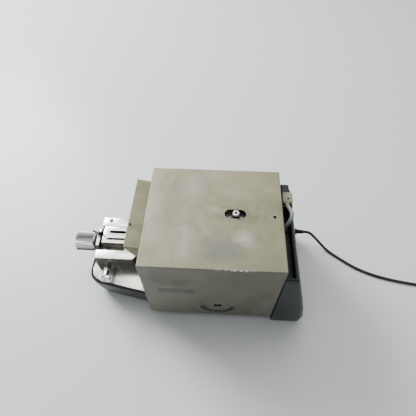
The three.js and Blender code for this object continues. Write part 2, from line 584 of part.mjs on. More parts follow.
// ---------- mains lead ----------
function buildLead() {
  const gland = turned("x", [GLAND.y, GLAND.z], [
    [0, GLAND.x0 - 7], [GLAND.stub, GLAND.x0 - 7], [GLAND.stub, GLAND.x0], [GLAND.collar, GLAND.x0],
    [GLAND.collar, GLAND.x0 + 3], [GLAND.stub, GLAND.x0 + 4], [CORD.r + 0.6, GLAND.x1], [0, GLAND.x1],
  ], 20);
  add("cord_gland", gland, FINISH.rubber);
  const z = CORD.z;
  const route = [
    [GLAND.x1 + 0.5, GLAND.y, GLAND.z], [279, 89.8, 44.9], [287, 88.4, 40.8], [294.5, 85.6, 34.3],
    [302, 83.3, 27], [310, 80, 19.5], [318, 75.5, 12.6], [326, 70, 7.4], [334.5, 63.4, 4.4],
    [343, 56.5, z], [353, 48.5, z],
    [366, 39, z], [385, 25.5, z], [404, 15, z], [425, 6, z], [448, -1.5, z], [473, -7.5, z],
    [500, -12.5, z], [527, -16.5, z], [550, -19.2, z], [564, -19.9, z],
  ];
  add("mains_cord", tube(route, CORD.r, 8, 48), FINISH.rubber);
  const { x, y, mean, half, height } = COIL;
  const ring = [
    [mean - half, GAP], [mean + half, GAP], [mean + half, height], [mean - half, height], [mean - half, GAP],
  ];
  add("cord_coil", turned("z", [x, y], ring, 32), FINISH.rubber);
  const tailX = x + mean + 6.6;
  const sleeve = rod("y", -106, y - 26, [tailX, 5], 4.5, 12, CORD.r);
  const shell = prism("z", GAP, 18, [
    [tailX - 6, -105], [tailX - 14, -120], [tailX - 14, -142],
    [tailX + 14, -142], [tailX + 14, -120], [tailX + 6, -105],
  ]);
  const pins = [-9.5, 9.5].map((dx) => rod("y", -160, -141, [tailX + dx, 9], 2.4, 12));
  add("mains_plug", join(shell, sleeve, ...pins), FINISH.blackPlastic);
}

buildBase();
buildStage();
buildFeed();
buildSpecimenSlide();
buildDrive();
buildSelector();
buildCover();
buildHousing();
buildConnector();
buildLead();

export default machine;
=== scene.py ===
import json
import math

import bmesh
import bpy
from mathutils import Matrix, Vector


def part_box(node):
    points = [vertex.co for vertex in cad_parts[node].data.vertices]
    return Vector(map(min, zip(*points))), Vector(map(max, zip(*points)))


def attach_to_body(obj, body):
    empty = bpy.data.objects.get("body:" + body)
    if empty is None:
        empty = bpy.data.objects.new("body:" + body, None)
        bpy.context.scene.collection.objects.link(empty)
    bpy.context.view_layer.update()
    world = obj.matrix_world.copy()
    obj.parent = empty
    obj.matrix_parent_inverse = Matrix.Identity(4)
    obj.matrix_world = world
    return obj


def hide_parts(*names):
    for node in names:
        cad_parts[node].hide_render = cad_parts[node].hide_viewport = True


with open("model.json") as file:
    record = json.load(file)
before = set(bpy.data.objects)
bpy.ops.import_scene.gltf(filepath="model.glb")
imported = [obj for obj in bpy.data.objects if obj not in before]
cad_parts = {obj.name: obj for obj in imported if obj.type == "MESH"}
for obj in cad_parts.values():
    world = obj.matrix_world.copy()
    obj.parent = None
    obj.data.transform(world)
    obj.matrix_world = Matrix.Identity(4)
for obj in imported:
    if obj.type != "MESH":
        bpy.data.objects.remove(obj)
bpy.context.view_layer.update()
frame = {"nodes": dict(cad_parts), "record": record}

SCALE = 0.001  # metres in a millimetre

# ---------- camera and light ----------
# Camera: place in millimetres, pitch and yaw in degrees, lens and sensor in millimetres.
CAMERA = {"place": (58.7, -384, 782.2), "pitch": 54.0, "yaw": -2.7, "lens": 30.9, "sensor": 36}
LAMPS = {  # metres and watts
    "window": {
        "place": (-1.9, 1.7, 1.7), "target": (0.05, 0.05, 0.1), "size": (1.5, 1.2),
        "power": 136, "colour": (0.985, 0.995, 1.0),
    },
    "ceiling": {
        "place": (-0.3, 0.9, 2.4), "target": (0.0, 0.1, 0), "size": (1.6, 1.2),
        "power": 17, "colour": (1.0, 0.998, 0.99),
    },
}
SKY = {"towards": (-0.35, 0.62, 0.7), "colour": (0.90, 0.93, 0.95, 1), "dark": 0.02, "bright": 0.98}
FLOOR_HALF = 6

# ---------- driving sizes, millimetres ----------
COVER_WALL = 1.5
COVER_EDGE = 1.8
SLOT = {"x": 92, "y": 3.5, "r": 10.5, "half": 10}
COVER_SCREW = {"x": 166, "r": 3.2}
DIAL = {
    "x": 66, "z": 70, "hole": 8.5, "inner": 26, "outer": 37.5, "lead": 0.07,
    "face": -114.2, "steps": 10, "text": 5.4,
}
NOTCH = {"half_y": 99, "z": 76}
PORT = {"half_y": 62, "z": 214}
VISOR = {
    "tip": -106, "wall_x": -78.3, "y0": -77, "y1": 80, "z_tip": 234, "z_wall": 228,
    "drop": 51, "wall": 1.5, "hole_y": -29, "hole_in": 4, "hole_r": 1.5,
}
BASE = {
    "nose": -212, "stern": 184.5, "half_nose": 46, "bottom": 6, "rim": 67, "wall": 7,
    "beam": 108, "cheek": 77, "cheek_x": -180, "bow_x": -40, "straight_x": 30, "taper": 8, "turn": 22,
}
TRIM = {"width": 3.4, "z0": 67.4, "z1": 74, "start": -60, "end": -79.5}
HOUSING = {"x0": 182.6, "wall": 3.5}
RECESS = {"x1": 202, "y0": -110, "y1": 92, "z": 190, "corner": 3}
KNOB = {"x0": -249, "x1": -200.3, "y": 8, "z": 101, "r": 20.5, "screw": 4, "pitch": 2}
LOCK = {"x": -196.3, "y": 15, "base": 119.5, "wing_base": 124.6, "wing": 12, "thick": 2.4}
RAIL_CLAMP = {"x": -171, "z": 94, "shank": 6, "head": 11.5, "neck": 5.2, "tip": -80, "root": -33}
DOME = {"x": -177, "y": 50, "r": 4.5, "slot": 1}
STAGE_TOP = 124
FEED = {"y": 3, "z": 60, "r": 4, "pitch": 2}
CRANK = {"x": 93, "z": 154, "motor_z": 100, "pulley": 36, "motor_pulley": 11, "shaft": 3, "shaft_bore": 6.3}
MOTOR = {"z": 103, "r": 23.3, "fins": 40}
SPECIMEN_CLAMP = {"x": -80, "y": 3}
POST = {"x": 93, "y": 2.5, "r": 6, "bore": 2.7, "foot": 217.3, "top": 238, "white": 4.5}
GLAND = {"x0": 248.3, "x1": 270, "y": 90, "z": 46, "stub": 5.4, "collar": 7.5}
CORD = {"r": 3.2, "z": 3.5}
COIL = {"x": 590, "y": -61.6, "mean": 35, "turns": 5, "columns": 3, "gap": 0.25, "layer_gap": 0.1}
PLUG = {"z": 5, "pin_z": 9, "pin_spacing": 19}
CABLE = {"r": 4, "x": 192.4, "y": 4, "floor": 180}
HOOD_SCREWS = {"hood_screw_inner": 190.5, "hood_screw_outer": 204.6}
HOOD_SCREW_Z = 208.5
HOOD_FIXING = {"x": 198.5, "y": 56}

CORD_ROUTE = [
    (GLAND["x1"] + 0.5, 90, 46), (279, 89.8, 44.9), (287, 88.4, 40.8), (294.5, 85.6, 34.3), (302, 83.3, 27),
    (310, 80, 19.5), (318, 75.5, 12.6), (326, 70, 7.4), (334.5, 63.4, 4.4), (343, 56.5, CORD["z"]),
    (353, 48.5, CORD["z"]), (366, 39, CORD["z"]), (385, 25.5, CORD["z"]), (404, 15, CORD["z"]),
    (425, 6, CORD["z"]), (448, -1.5, CORD["z"]), (473, -7.5, CORD["z"]), (500, -12.5, CORD["z"]),
    (527, -16.5, CORD["z"]), (550, -19.2, CORD["z"]), (564, -19.9, CORD["z"]),
]
CABLE_ROUTE = [
    (196.2, 47.3, 213), (196.6, 41, 213.4), (199.2, 33.5, 214.5), (201.8, 26, 214.8), (202.6, 18.5, 214),
    (200.6, 11.5, 211), (197, 6.8, 205.5), (194, 4.6, 198.5), (CABLE["x"], CABLE["y"], 190),
    (CABLE["x"], CABLE["y"], CABLE["floor"] - 1),
]


def mm(x, y, z):
    return Vector((x, y, z)) * SCALE


def make_camera():
    data = bpy.data.cameras.new("camera")
    data.sensor_width = CAMERA["sensor"]
    data.lens = CAMERA["lens"]
    data.clip_start = 0.01
    data.clip_end = 50
    camera = bpy.data.objects.new("camera", data)
    bpy.context.scene.collection.objects.link(camera)
    pitch = math.radians(CAMERA["pitch"])
    yaw = math.radians(CAMERA["yaw"])
    level = math.cos(pitch)
    forward = Vector((math.sin(yaw) * level, math.cos(yaw) * level, -math.sin(pitch)))
    right = Vector((math.cos(yaw), -math.sin(yaw), 0))
    up = right.cross(forward)
    turn = Matrix((right, up, -forward)).transposed()
    camera.matrix_world = Matrix.Translation(mm(*CAMERA["place"])) @ turn.to_4x4()
    bpy.context.scene.camera = camera


def area_light(name, place, target, size, power, colour):
    data = bpy.data.lights.new(name, "AREA")
    data.shape = "RECTANGLE"
    data.size, data.size_y = size
    data.energy = power
    data.color = colour
    light = bpy.data.objects.new(name, data)
    bpy.context.scene.collection.objects.link(light)
    direction = Vector(target) - Vector(place)
    turn = direction.to_track_quat("-Z", "Y").to_matrix().to_4x4()
    light.matrix_world = Matrix.Translation(place) @ turn


def make_light():
    """A window behind to the left, a ceiling lamp, and a room that is dark on the near side."""
    for name, lamp in LAMPS.items():
        area_light(name, **lamp)
    world = bpy.data.worlds.new("studio")
    world.use_nodes = True
    tree = world.node_tree
    background = tree.nodes["Background"]
    direction = node(tree, "ShaderNodeTexCoord")
    tilt = node(tree, "ShaderNodeVectorMath", operation="DOT_PRODUCT", inputs={1: SKY["towards"]})
    fade = node(tree, "ShaderNodeMapRange", interpolation_type="SMOOTHSTEP", inputs={
        "From Min": -0.3, "From Max": 0.75, "To Min": SKY["dark"], "To Max": SKY["bright"]})
    wire(tree, (direction, "Generated", tilt, 0), (tilt, "Value", fade, "Value"),
         (fade, "Result", background, "Strength"))
    background.inputs["Color"].default_value = SKY["colour"]
    bpy.context.scene.world = world


# ---------- node helpers ----------
def node(tree, kind, **settings):
    made = tree.nodes.new(kind)
    for key, value in settings.items():
        if key == "inputs":
            for socket, given in value.items():
                made.inputs[socket].default_value = given
        else:
            setattr(made, key, value)
    return made


def wire(tree, *joins):
    """Links each (node, output, node, input)."""
    for source, output, target, socket in joins:
        tree.links.new(source.outputs[output], target.inputs[socket])


def make_group(name, inputs, outputs):
    """An empty shader group with named value, colour or vector sockets."""
    group = bpy.data.node_groups.new(name, "ShaderNodeTree")
    for label, kind, default in inputs:
        socket = group.interface.new_socket(label, in_out="INPUT", socket_type=kind)
        socket.default_value = default
    for label, kind in outputs:
        group.interface.new_socket(label, in_out="OUTPUT", socket_type=kind)
    return group, group.nodes.new("NodeGroupInput"), group.nodes.new("NodeGroupOutput")


COUNT = "NodeSocketInt"
FLOAT = "NodeSocketFloat"
VECTOR = "NodeSocketVector"


def make_blotch_group():
    """Large soft stains: a mask that is 0 on clean paint and 1 in the middle of a stain."""
    group, start, end = make_group(
        "blotches",
        [("Vector", VECTOR, (0, 0, 0)), ("Scale", FLOAT, 12), ("From", FLOAT, 0.45), ("To", FLOAT, 0.75)],
        [("Mask", FLOAT)],
    )
    coarse = node(group, "ShaderNodeTexNoise", inputs={"Detail": 5, "Roughness": 0.6, "Distortion": 0.4})
    ramp = node(group, "ShaderNodeMapRange", interpolation_type="SMOOTHSTEP")
    wire(group, (start, "Vector", coarse, "Vector"), (start, "Scale", coarse, "Scale"),
         (coarse, "Fac", ramp, "Value"), (start, "From", ramp, "From Min"),
         (start, "To", ramp, "From Max"), (ramp, "Result", end, "Mask"))
    return group


def make_grain_group():
    """Fine surface grain: a height for bump and the same value for tint."""
    group, start, end = make_group(
        "grain",
        [("Vector", VECTOR, (0, 0, 0)), ("Scale", FLOAT, 900), ("Stretch", VECTOR, (1, 1, 1))],
        [("Height", FLOAT)],
    )
    stretch = node(group, "ShaderNodeVectorMath", operation="MULTIPLY")
    noise = node(group, "ShaderNodeTexNoise", inputs={"Detail": 3, "Roughness": 0.55})
    wire(group, (start, "Vector", stretch, 0), (start, "Stretch", stretch, 1),
         (stretch, "Vector", noise, "Vector"), (start, "Scale", noise, "Scale"),
         (noise, "Fac", end, "Height"))
    return group


def make_scratch_group():
    """Thin straight scratches: a mask of bright lines that break off."""
    group, start, end = make_group(
        "scratches",
        [("Vector", VECTOR, (0, 0, 0)), ("Scale", FLOAT, 40), ("Amount", FLOAT, 0.5)],
        [("Mask", FLOAT)],
    )
    warp = node(group, "ShaderNodeMapping", inputs={"Rotation": (0.3, 0.5, 0.62), "Scale": (1, 14, 1)})
    lines = node(group, "ShaderNodeTexVoronoi", feature="DISTANCE_TO_EDGE")
    thin = node(group, "ShaderNodeMapRange", inputs={"From Min": 0.006, "From Max": 0.0})
    gaps = node(group, "ShaderNodeTexNoise", inputs={"Scale": 30, "Detail": 2})
    keep = node(group, "ShaderNodeMapRange", inputs={"From Min": 0.55, "From Max": 0.7})
    both = node(group, "ShaderNodeMath", operation="MULTIPLY")
    scaled = node(group, "ShaderNodeMath", operation="MULTIPLY")
    wire(group, (start, "Vector", warp, "Vector"), (start, "Vector", gaps, "Vector"),
         (warp, "Vector", lines, "Vector"), (start, "Scale", lines, "Scale"),
         (lines, "Distance", thin, "Value"), (gaps, "Fac", keep, "Value"), (thin, "Result", both, 0),
         (keep, "Result", both, 1), (both, "Value", scaled, 0), (start, "Amount", scaled, 1),
         (scaled, "Value", end, "Mask"))
    return group


def make_box_wear_group():
    """Rubbed paint along the edges of a box-shaped piece: 1 where the paint is gone."""
    group, start, end = make_group(
        "box_edge_wear",
        [("Vector", VECTOR, (0, 0, 0)), ("Centre", VECTOR, (0, 0, 0)), ("Half Size", VECTOR, (1, 1, 1)),
         ("Width", FLOAT, 0.002), ("Amount", FLOAT, 0.5)],
        [("Mask", FLOAT)],
    )
    offset = node(group, "ShaderNodeVectorMath", operation="SUBTRACT")
    size = node(group, "ShaderNodeVectorMath", operation="ABSOLUTE")
    depth = node(group, "ShaderNodeVectorMath", operation="SUBTRACT")
    axes = node(group, "ShaderNodeSeparateXYZ")
    wire(group, (start, "Vector", offset, 0), (start, "Centre", offset, 1),
         (offset, "Vector", size, 0), (start, "Half Size", depth, 0), (size, "Vector", depth, 1),
         (depth, "Vector", axes, "Vector"))
    # The second smallest depth is the distance to the nearest edge.
    low = node(group, "ShaderNodeMath", operation="MINIMUM")
    high = node(group, "ShaderNodeMath", operation="MAXIMUM")
    inner = node(group, "ShaderNodeMath", operation="MINIMUM")
    second = node(group, "ShaderNodeMath", operation="MAXIMUM")
    wire(group, (axes, "X", low, 0), (axes, "Y", low, 1), (axes, "X", high, 0), (axes, "Y", high, 1),
         (high, "Value", inner, 0), (axes, "Z", inner, 1), (low, "Value", second, 0),
         (inner, "Value", second, 1))
    ragged = node(group, "ShaderNodeTexNoise", inputs={"Scale": 130, "Detail": 6, "Roughness": 0.7})
    wire(group, (start, "Vector", ragged, "Vector"))
    reach = node(group, "ShaderNodeMapRange", inputs={"From Min": 0.5, "From Max": 0.72, "To Max": 1.0})
    wire(group, (ragged, "Fac", reach, "Value"))
    local = node(group, "ShaderNodeMath", operation="MULTIPLY")
    wire(group, (reach, "Result", local, 0), (start, "Width", local, 1))
    inside = node(group, "ShaderNodeMath", operation="LESS_THAN")
    wire(group, (second, "Value", inside, 0), (local, "Value", inside, 1))
    scaled = node(group, "ShaderNodeMath", operation="MULTIPLY")
    wire(group, (inside, "Value", scaled, 0), (start, "Amount", scaled, 1),
         (scaled, "Value", end, "Mask"))
    return group


BLOTCHES = make_blotch_group()
GRAIN = make_grain_group()
SCRATCHES = make_scratch_group()
BOX_WEAR = make_box_wear_group()


class Finish:
    """A material with its shader, coordinates and the steps that most finishes share."""

    def __init__(self, name, colour, roughness, metallic=0.0):
        self.material = bpy.data.materials.new(name)
        self.material.use_nodes = True
        self.tree = self.material.node_tree
        self.shader = self.tree.nodes["Principled BSDF"]
        self.shader.inputs["Metallic"].default_value = metallic
        self.shader.inputs["Base Color"].default_value = (*colour, 1)
        self.shader.inputs["Roughness"].default_value = roughness
        self.place = self.tree.nodes.new("ShaderNodeTexCoord").outputs["Object"]
        self.colour = None
        self.start_colour = (*colour, 1)
        self.start_roughness = roughness
        self.rough = None
        self.height = None

    def link(self, source, target):
        self.tree.links.new(source, target)

    def group(self, tree, **inputs):
        made = node(self.tree, "ShaderNodeGroup")
        made.node_tree = tree
        self.link(self.place, made.inputs["Vector"])
        for label, value in inputs.items():
            made.inputs[label.replace("_", " ")].default_value = value
        return made.outputs[0]

    def tint(self, mask, colour, strength=1.0):
        """Mixes a colour in where the mask is on."""
        amount = node(self.tree, "ShaderNodeMath", operation="MULTIPLY")
        self.link(mask, amount.inputs[0])
        amount.inputs[1].default_value = strength
        mix = node(self.tree, "ShaderNodeMix", data_type="RGBA")
        self.link(amount.outputs[0], mix.inputs["Factor"])
        if self.colour is None:
            mix.inputs["A"].default_value = self.start_colour
        else:
            self.link(self.colour, mix.inputs["A"])
        mix.inputs["B"].default_value = (*colour, 1)
        self.colour = mix.outputs["Result"]
        self.link(self.colour, self.shader.inputs["Base Color"])

    def roughen(self, mask, change):
        """Adds to the roughness where the mask is on."""
        add = node(self.tree, "ShaderNodeMath", operation="MULTIPLY_ADD", use_clamp=True)
        self.link(mask, add.inputs[0])
        add.inputs[1].default_value = change
        if self.rough is None:
            add.inputs[2].default_value = self.start_roughness
        else:
            self.link(self.rough, add.inputs[2])
        self.rough = add.outputs[0]
        self.link(self.rough, self.shader.inputs["Roughness"])

    def bump(self, mask, depth, strength=1.0):
        """Raises the surface by depth metres where the mask is on."""
        bump = node(self.tree, "ShaderNodeBump")
        bump.inputs["Strength"].default_value = strength
        bump.inputs["Distance"].default_value = depth
        self.link(mask, bump.inputs["Height"])
        if self.height is not None:
            self.link(self.height, bump.inputs["Normal"])
        self.height = bump.outputs["Normal"]
        self.link(self.height, self.shader.inputs["Normal"])

    def axis(self, name):
        split = node(self.tree, "ShaderNodeSeparateXYZ")
        self.link(self.place, split.inputs[0])
        return split.outputs[name]

    def math(self, operation, a, b):
        made = node(self.tree, "ShaderNodeMath", operation=operation)
        for entry, value in zip(made.inputs, (a, b)):
            if isinstance(value, (int, float)):
                entry.default_value = value
            else:
                self.link(value, entry)
        return made.outputs[0]

    def span(self, name, low, high, soft=0.0006):
        """1 between two stations of an axis, in metres, with soft ends."""
        place = self.axis(name)
        rise = node(self.tree, "ShaderNodeMapRange", inputs={
            "From Min": low - soft, "From Max": low + soft})
        fall = node(self.tree, "ShaderNodeMapRange", inputs={
            "From Min": high + soft, "From Max": high - soft})
        self.link(place, rise.inputs["Value"])
        self.link(place, fall.inputs["Value"])
        return self.math("MULTIPLY", rise.outputs["Result"], fall.outputs["Result"])


def cover_paint(name, colour, centre, half):
    """Aged satin enamel: cloudy, stained and wiped in patches, worn through along the folds."""
    paint = Finish(name, colour, 0.4)
    red, green, blue = colour
    paint.bump(paint.group(GRAIN, Scale=700.0), 0.00012, 0.5)
    faded = paint.group(BLOTCHES, Scale=8.0, From=0.42, To=0.66)
    paint.tint(faded, (red * 1.42, green * 1.46, blue * 1.66), 0.85)
    browned = paint.group(BLOTCHES, Scale=11.0, From=0.5, To=0.7)
    paint.tint(browned, (red * 0.7, green * 0.67, blue * 0.6), 0.85)
    paint.roughen(browned, 0.12)
    stains = paint.group(BLOTCHES, Scale=23.0, From=0.54, To=0.74)
    paint.tint(stains, (red * 0.6, green * 0.62, blue * 0.68), 0.55)
    paint.roughen(stains, 0.16)
    paint.roughen(paint.group(BLOTCHES, Scale=33.0, From=0.56, To=0.8), -0.14)
    specks = paint.group(BLOTCHES, Scale=420.0, From=0.7, To=0.78)
    paint.tint(specks, (red * 0.45, green * 0.45, blue * 0.5), 0.5)
    rubbed = paint.group(SCRATCHES, Scale=16.0, Amount=0.35)
    paint.tint(rubbed, (red * 1.7, green * 1.7, blue * 2.0))
    worn = paint.group(BOX_WEAR, Centre=centre, Half_Size=half, Width=0.0017, Amount=0.75)
    paint.tint(worn, (0.46, 0.445, 0.38))
    paint.roughen(worn, 0.1)
    return paint


def make_cover_paint():
    low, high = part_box("cover")
    paint = cover_paint("cover_paint", (0.262, 0.245, 0.148), (low + high) / 2, (high - low) / 2)
    length, depth = high.x - low.x, high.y - low.y

    def patch(x0, x1, y0, y1, edge, colour, amount, scale, start):
        """A cloudy rectangle of another tone on the top, at fractions of the cover's own size."""
        across = paint.span("X", low.x + x0 * length, low.x + x1 * length, edge)
        inward = paint.span("Y", low.y + y0 * depth, low.y + y1 * depth, edge)
        mask = paint.math("MULTIPLY", across, inward)
        cloud = paint.group(BLOTCHES, Scale=scale, From=start, To=start + 0.25)
        paint.tint(paint.math("MULTIPLY", mask, cloud), colour, amount)

    # Rubbed, wiped and stained areas: edges as shares of the top, softness in metres, tone, amount.
    patch(0.42, 0.7, 0.07, 0.27, 0.014, (0.165, 0.168, 0.13), 0.75, 30.0, 0.25)
    patch(0.66, 0.77, 0.2, 0.33, 0.012, (0.47, 0.47, 0.39), 0.8, 34.0, 0.3)
    patch(0.27, 0.34, 0.08, 0.38, 0.009, (0.40, 0.40, 0.33), 0.6, 22.0, 0.25)
    patch(0.14, 0.2, 0.05, 0.24, 0.009, (0.36, 0.37, 0.31), 0.5, 22.0, 0.25)
    patch(0.26, 0.4, 0.66, 0.94, 0.014, (0.38, 0.38, 0.31), 0.6, 18.0, 0.2)
    patch(0.1, 0.24, 0.36, 0.6, 0.014, (0.2, 0.18, 0.12), 0.6, 26.0, 0.3)
    # Painted shade: the front face is darkened, standing in for the shade it lies in.
    paint.tint(paint.span("Y", low.y - 0.002, low.y + 0.002), (0.15, 0.148, 0.118), 0.78)
    # Chips along the top front edge.
    along = paint.span("X", 0.064, 0.122, 0.014)
    rub = paint.math("MULTIPLY", along, paint.span("Y", low.y - 0.001, low.y + 0.0019))
    rub = paint.math("MULTIPLY", rub, paint.span("Z", high.z - 0.0024, high.z + 0.001))
    ragged = paint.group(BLOTCHES, Scale=210.0, From=0.5, To=0.54)
    paint.tint(paint.math("MULTIPLY", rub, ragged), (0.82, 0.8, 0.74))
    # The faded blank label patch above the dial.
    label = paint.math("MULTIPLY", paint.span("X", -0.051, 0.018), paint.span("Z", 0.127, 0.147))
    label = paint.math("MULTIPLY", label, paint.span("Y", low.y - 0.001, low.y + 0.001))
    smudged = paint.group(BLOTCHES, Scale=150.0, From=0.3, To=0.62)
    paint.tint(label, (0.105, 0.103, 0.088), 0.8)
    paint.tint(paint.math("MULTIPLY", label, smudged), (0.07, 0.068, 0.056), 0.75)
    # Darker towards the bottom, over the lowest 50 mm of the cover.
    lower_darkening = node(paint.tree, "ShaderNodeMapRange", inputs={"From Min": low.z + 0.05, "From Max": low.z})
    paint.link(paint.axis("Z"), lower_darkening.inputs["Value"])
    paint.tint(lower_darkening.outputs["Result"], (0.17, 0.155, 0.12), 0.35)
    return paint.material


def make_visor_shaded_paint():
    low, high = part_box("visor")
    # Painted shade: the visor takes the cover's paint made darker, standing in for the shade on its tilted
    # top.
    return cover_paint("visor_shaded_paint", (0.212, 0.196, 0.108), (low + high) / 2, (high - low) / 2).material


def make_slate_paint():
    paint = Finish("slate_paint", (0.014, 0.0205, 0.0225), 0.38)
    paint.shader.inputs["Specular IOR Level"].default_value = 0.35
    paint.bump(paint.group(GRAIN, Scale=480.0), 0.00012, 0.45)
    paint.tint(paint.group(BLOTCHES, Scale=9.0, From=0.4, To=0.7), (0.021, 0.029, 0.031), 0.6)
    dust = paint.group(BLOTCHES, Scale=28.0, From=0.55, To=0.8)
    paint.tint(dust, (0.06, 0.068, 0.07), 0.3)
    paint.roughen(dust, 0.18)
    paint.tint(paint.group(SCRATCHES, Scale=26.0, Amount=0.6), (0.08, 0.088, 0.09))
    return paint.material


def make_metal(name, colour, roughness, stretch, streak=0.12):
    """Brushed metal: grain along one way, hand marks, pits and fine scratches."""
    metal = Finish(name, colour, roughness, 1.0)
    brushed = metal.group(GRAIN, Scale=260.0, Stretch=stretch)
    metal.roughen(brushed, streak)
    metal.bump(brushed, 0.00004, 0.35)
    hands = metal.group(BLOTCHES, Scale=24.0, From=0.45, To=0.75)
    metal.roughen(hands, 0.14)
    metal.tint(hands, tuple(c * 0.86 for c in colour), 0.6)
    metal.tint(metal.group(BLOTCHES, Scale=240.0, From=0.72, To=0.8), tuple(c * 0.4 for c in colour), 0.5)
    metal.tint(metal.group(SCRATCHES, Scale=60.0, Amount=0.5), tuple(min(1, c * 1.25) for c in colour))
    return metal.material


def make_stage_steel_with_side_shade():
    """Stage plates: faces that look up are ground bright; upright faces get painted shade, a dark tint set by
    which way they face.
    """
    metal = Finish("stage_steel_with_side_shade", (0.80, 0.785, 0.75), 0.17, 1.0)
    brushed = metal.group(GRAIN, Scale=240.0, Stretch=(1, 16, 16))
    metal.roughen(brushed, 0.14)
    metal.bump(brushed, 0.00004, 0.3)
    hands = metal.group(BLOTCHES, Scale=26.0, From=0.45, To=0.75)
    metal.roughen(hands, 0.12)
    metal.tint(hands, (0.70, 0.68, 0.64), 0.5)
    metal.tint(metal.group(SCRATCHES, Scale=60.0, Amount=0.5), (0.95, 0.94, 0.92))
    # Painted shade: upright faces are tinted dark in mottled patches and made rougher, from the up component
    # of their normal.
    facing = node(metal.tree, "ShaderNodeTexCoord").outputs["Normal"]
    up = node(metal.tree, "ShaderNodeSeparateXYZ")
    metal.link(facing, up.inputs[0])
    scale = node(metal.tree, "ShaderNodeMapRange", inputs={"From Min": 0.55, "From Max": 0.2})
    metal.link(metal.math("ABSOLUTE", up.outputs["Z"], 0), scale.inputs["Value"])
    shade_mottling = metal.group(BLOTCHES, Scale=38.0, From=0.2, To=0.5)
    dark = metal.math("MULTIPLY", scale.outputs["Result"], metal.math("MAXIMUM", shade_mottling, 0.75))
    metal.tint(dark, (0.105, 0.10, 0.088))
    metal.roughen(scale.outputs["Result"], 0.2)
    return metal.material


def make_cast(name, colour, roughness, metallic, scale=320.0):
    """Pebbled casting with dirt in it."""
    cast = Finish(name, colour, roughness, metallic)
    pebbled = cast.group(GRAIN, Scale=scale)
    cast.bump(pebbled, 0.00022, 0.7)
    dirt = cast.group(BLOTCHES, Scale=40.0, From=0.45, To=0.8)
    cast.tint(dirt, tuple(c * 0.65 for c in colour), 0.6)
    cast.roughen(dirt, 0.15)
    return cast.material


def make_plastic(name, colour, roughness, wear):
    """Moulded plastic or rubber with a fine grain, dusty in patches."""
    plastic = Finish(name, colour, roughness)
    plastic.bump(plastic.group(GRAIN, Scale=1100.0), 0.00006, 0.5)
    dust = plastic.group(BLOTCHES, Scale=45.0, From=0.5, To=0.8)
    plastic.tint(dust, wear, 0.4)
    plastic.roughen(dust, 0.15)
    return plastic.material


def make_materials():
    return {
        "cover": make_cover_paint(),
        "visor": make_visor_shaded_paint(),
        "slate": make_slate_paint(),
        "stage": make_stage_steel_with_side_shade(),
        "nickel": make_metal("polished_nickel", (0.78, 0.75, 0.70), 0.16, (1, 18, 18)),
        "chrome": make_metal("chrome", (0.83, 0.83, 0.82), 0.09, (6, 6, 6), 0.05),
        "steel": make_metal("ground_steel", (0.55, 0.56, 0.57), 0.28, (1, 12, 12)),
        "dark_steel": make_metal("blackened_steel", (0.10, 0.10, 0.105), 0.42, (8, 8, 8)),
        "laminations": make_cast("transformer_laminations", (0.20, 0.21, 0.22), 0.5, 0.9, 900.0),
        "aluminium": make_cast("cast_aluminium", (0.56, 0.57, 0.58), 0.45, 1.0),
        "brass": make_metal("brass", (0.68, 0.50, 0.22), 0.25, (10, 10, 1)),
        "copper": make_metal("enamelled_copper", (0.55, 0.24, 0.10), 0.32, (1, 40, 1)),
        "rubber": make_plastic("black_rubber", (0.007, 0.007, 0.0075), 0.7, (0.03, 0.03, 0.028)),
        "jacket": make_plastic("black_lead_jacket", (0.011, 0.011, 0.012), 0.38, (0.04, 0.04, 0.04)),
        "black": make_plastic("black_moulding", (0.018, 0.019, 0.021), 0.45, (0.06, 0.06, 0.06)),
        "beige": make_plastic("aged_beige_moulding", (0.31, 0.285, 0.215), 0.42, (0.22, 0.19, 0.13)),
        "grey": make_plastic("grey_cable_jacket", (0.30, 0.31, 0.32), 0.45, (0.22, 0.22, 0.21)),
        "white": make_plastic("white_nylon", (0.88, 0.88, 0.86), 0.3, (0.7, 0.68, 0.62)),
        "board": make_plastic("green_board", (0.03, 0.12, 0.06), 0.3, (0.06, 0.14, 0.08)),
        "print": make_plastic("dial_print", (0.022, 0.021, 0.018), 0.5, (0.05, 0.048, 0.04)),
        "numerals": make_plastic("dial_numerals", (0.26, 0.25, 0.2), 0.5, (0.15, 0.145, 0.12)),
    }


# ---------- mesh helpers ----------
def link_mesh(name, mesh):
    made = bpy.data.objects.new(name, mesh)
    bpy.context.scene.collection.objects.link(made)
    return made


def smooth(mesh, angle=32):
    mesh.polygons.foreach_set("use_smooth", [True] * len(mesh.polygons))
    mesh.set_sharp_from_angle(angle=math.radians(angle))


def mesh_of(name, bm):
    mesh = bpy.data.meshes.new(name)
    bmesh.ops.remove_doubles(bm, verts=bm.verts, dist=1e-6)
    bmesh.ops.recalc_face_normals(bm, faces=bm.faces)
    bm.to_mesh(mesh)
    bm.free()
    return mesh


def evaluated_mesh(obj):
    """The object's shape with its modifiers run, as a mesh of its own."""
    graph = bpy.context.evaluated_depsgraph_get()
    return bpy.data.meshes.new_from_object(obj.evaluated_get(graph))


def bake(obj):
    """Gives the object its evaluated shape, with its modifiers gone."""
    mesh = evaluated_mesh(obj)
    obj.modifiers.clear()
    obj.data = mesh
    return obj


def drop(*objects):
    for obj in objects:
        bpy.data.objects.remove(obj, do_unlink=True)


def on_axis(axis, a, b, along):
    """The point that lies (a, b) across an axis and `along` it."""
    return {"x": (along, a, b), "y": (a, along, b), "z": (a, b, along)}[axis]


def prism(name, axis, start, end, outline):
    """A closed outline of [a, b] points run along an axis."""
    bm = bmesh.new()
    low = [bm.verts.new(mm(*on_axis(axis, a, b, start))) for a, b in outline]
    high = [bm.verts.new(mm(*on_axis(axis, a, b, end))) for a, b in outline]
    bm.faces.new(low)
    bm.faces.new(high)
    for i in range(len(outline)):
        j = (i + 1) % len(outline)
        bm.faces.new((low[i], low[j], high[j], high[i]))
    return mesh_of(name, bm)


def block(name, x0, x1, y0, y1, z0, z1):
    return prism(name, "z", z0, z1, [(x0, y0), (x1, y0), (x1, y1), (x0, y1)])


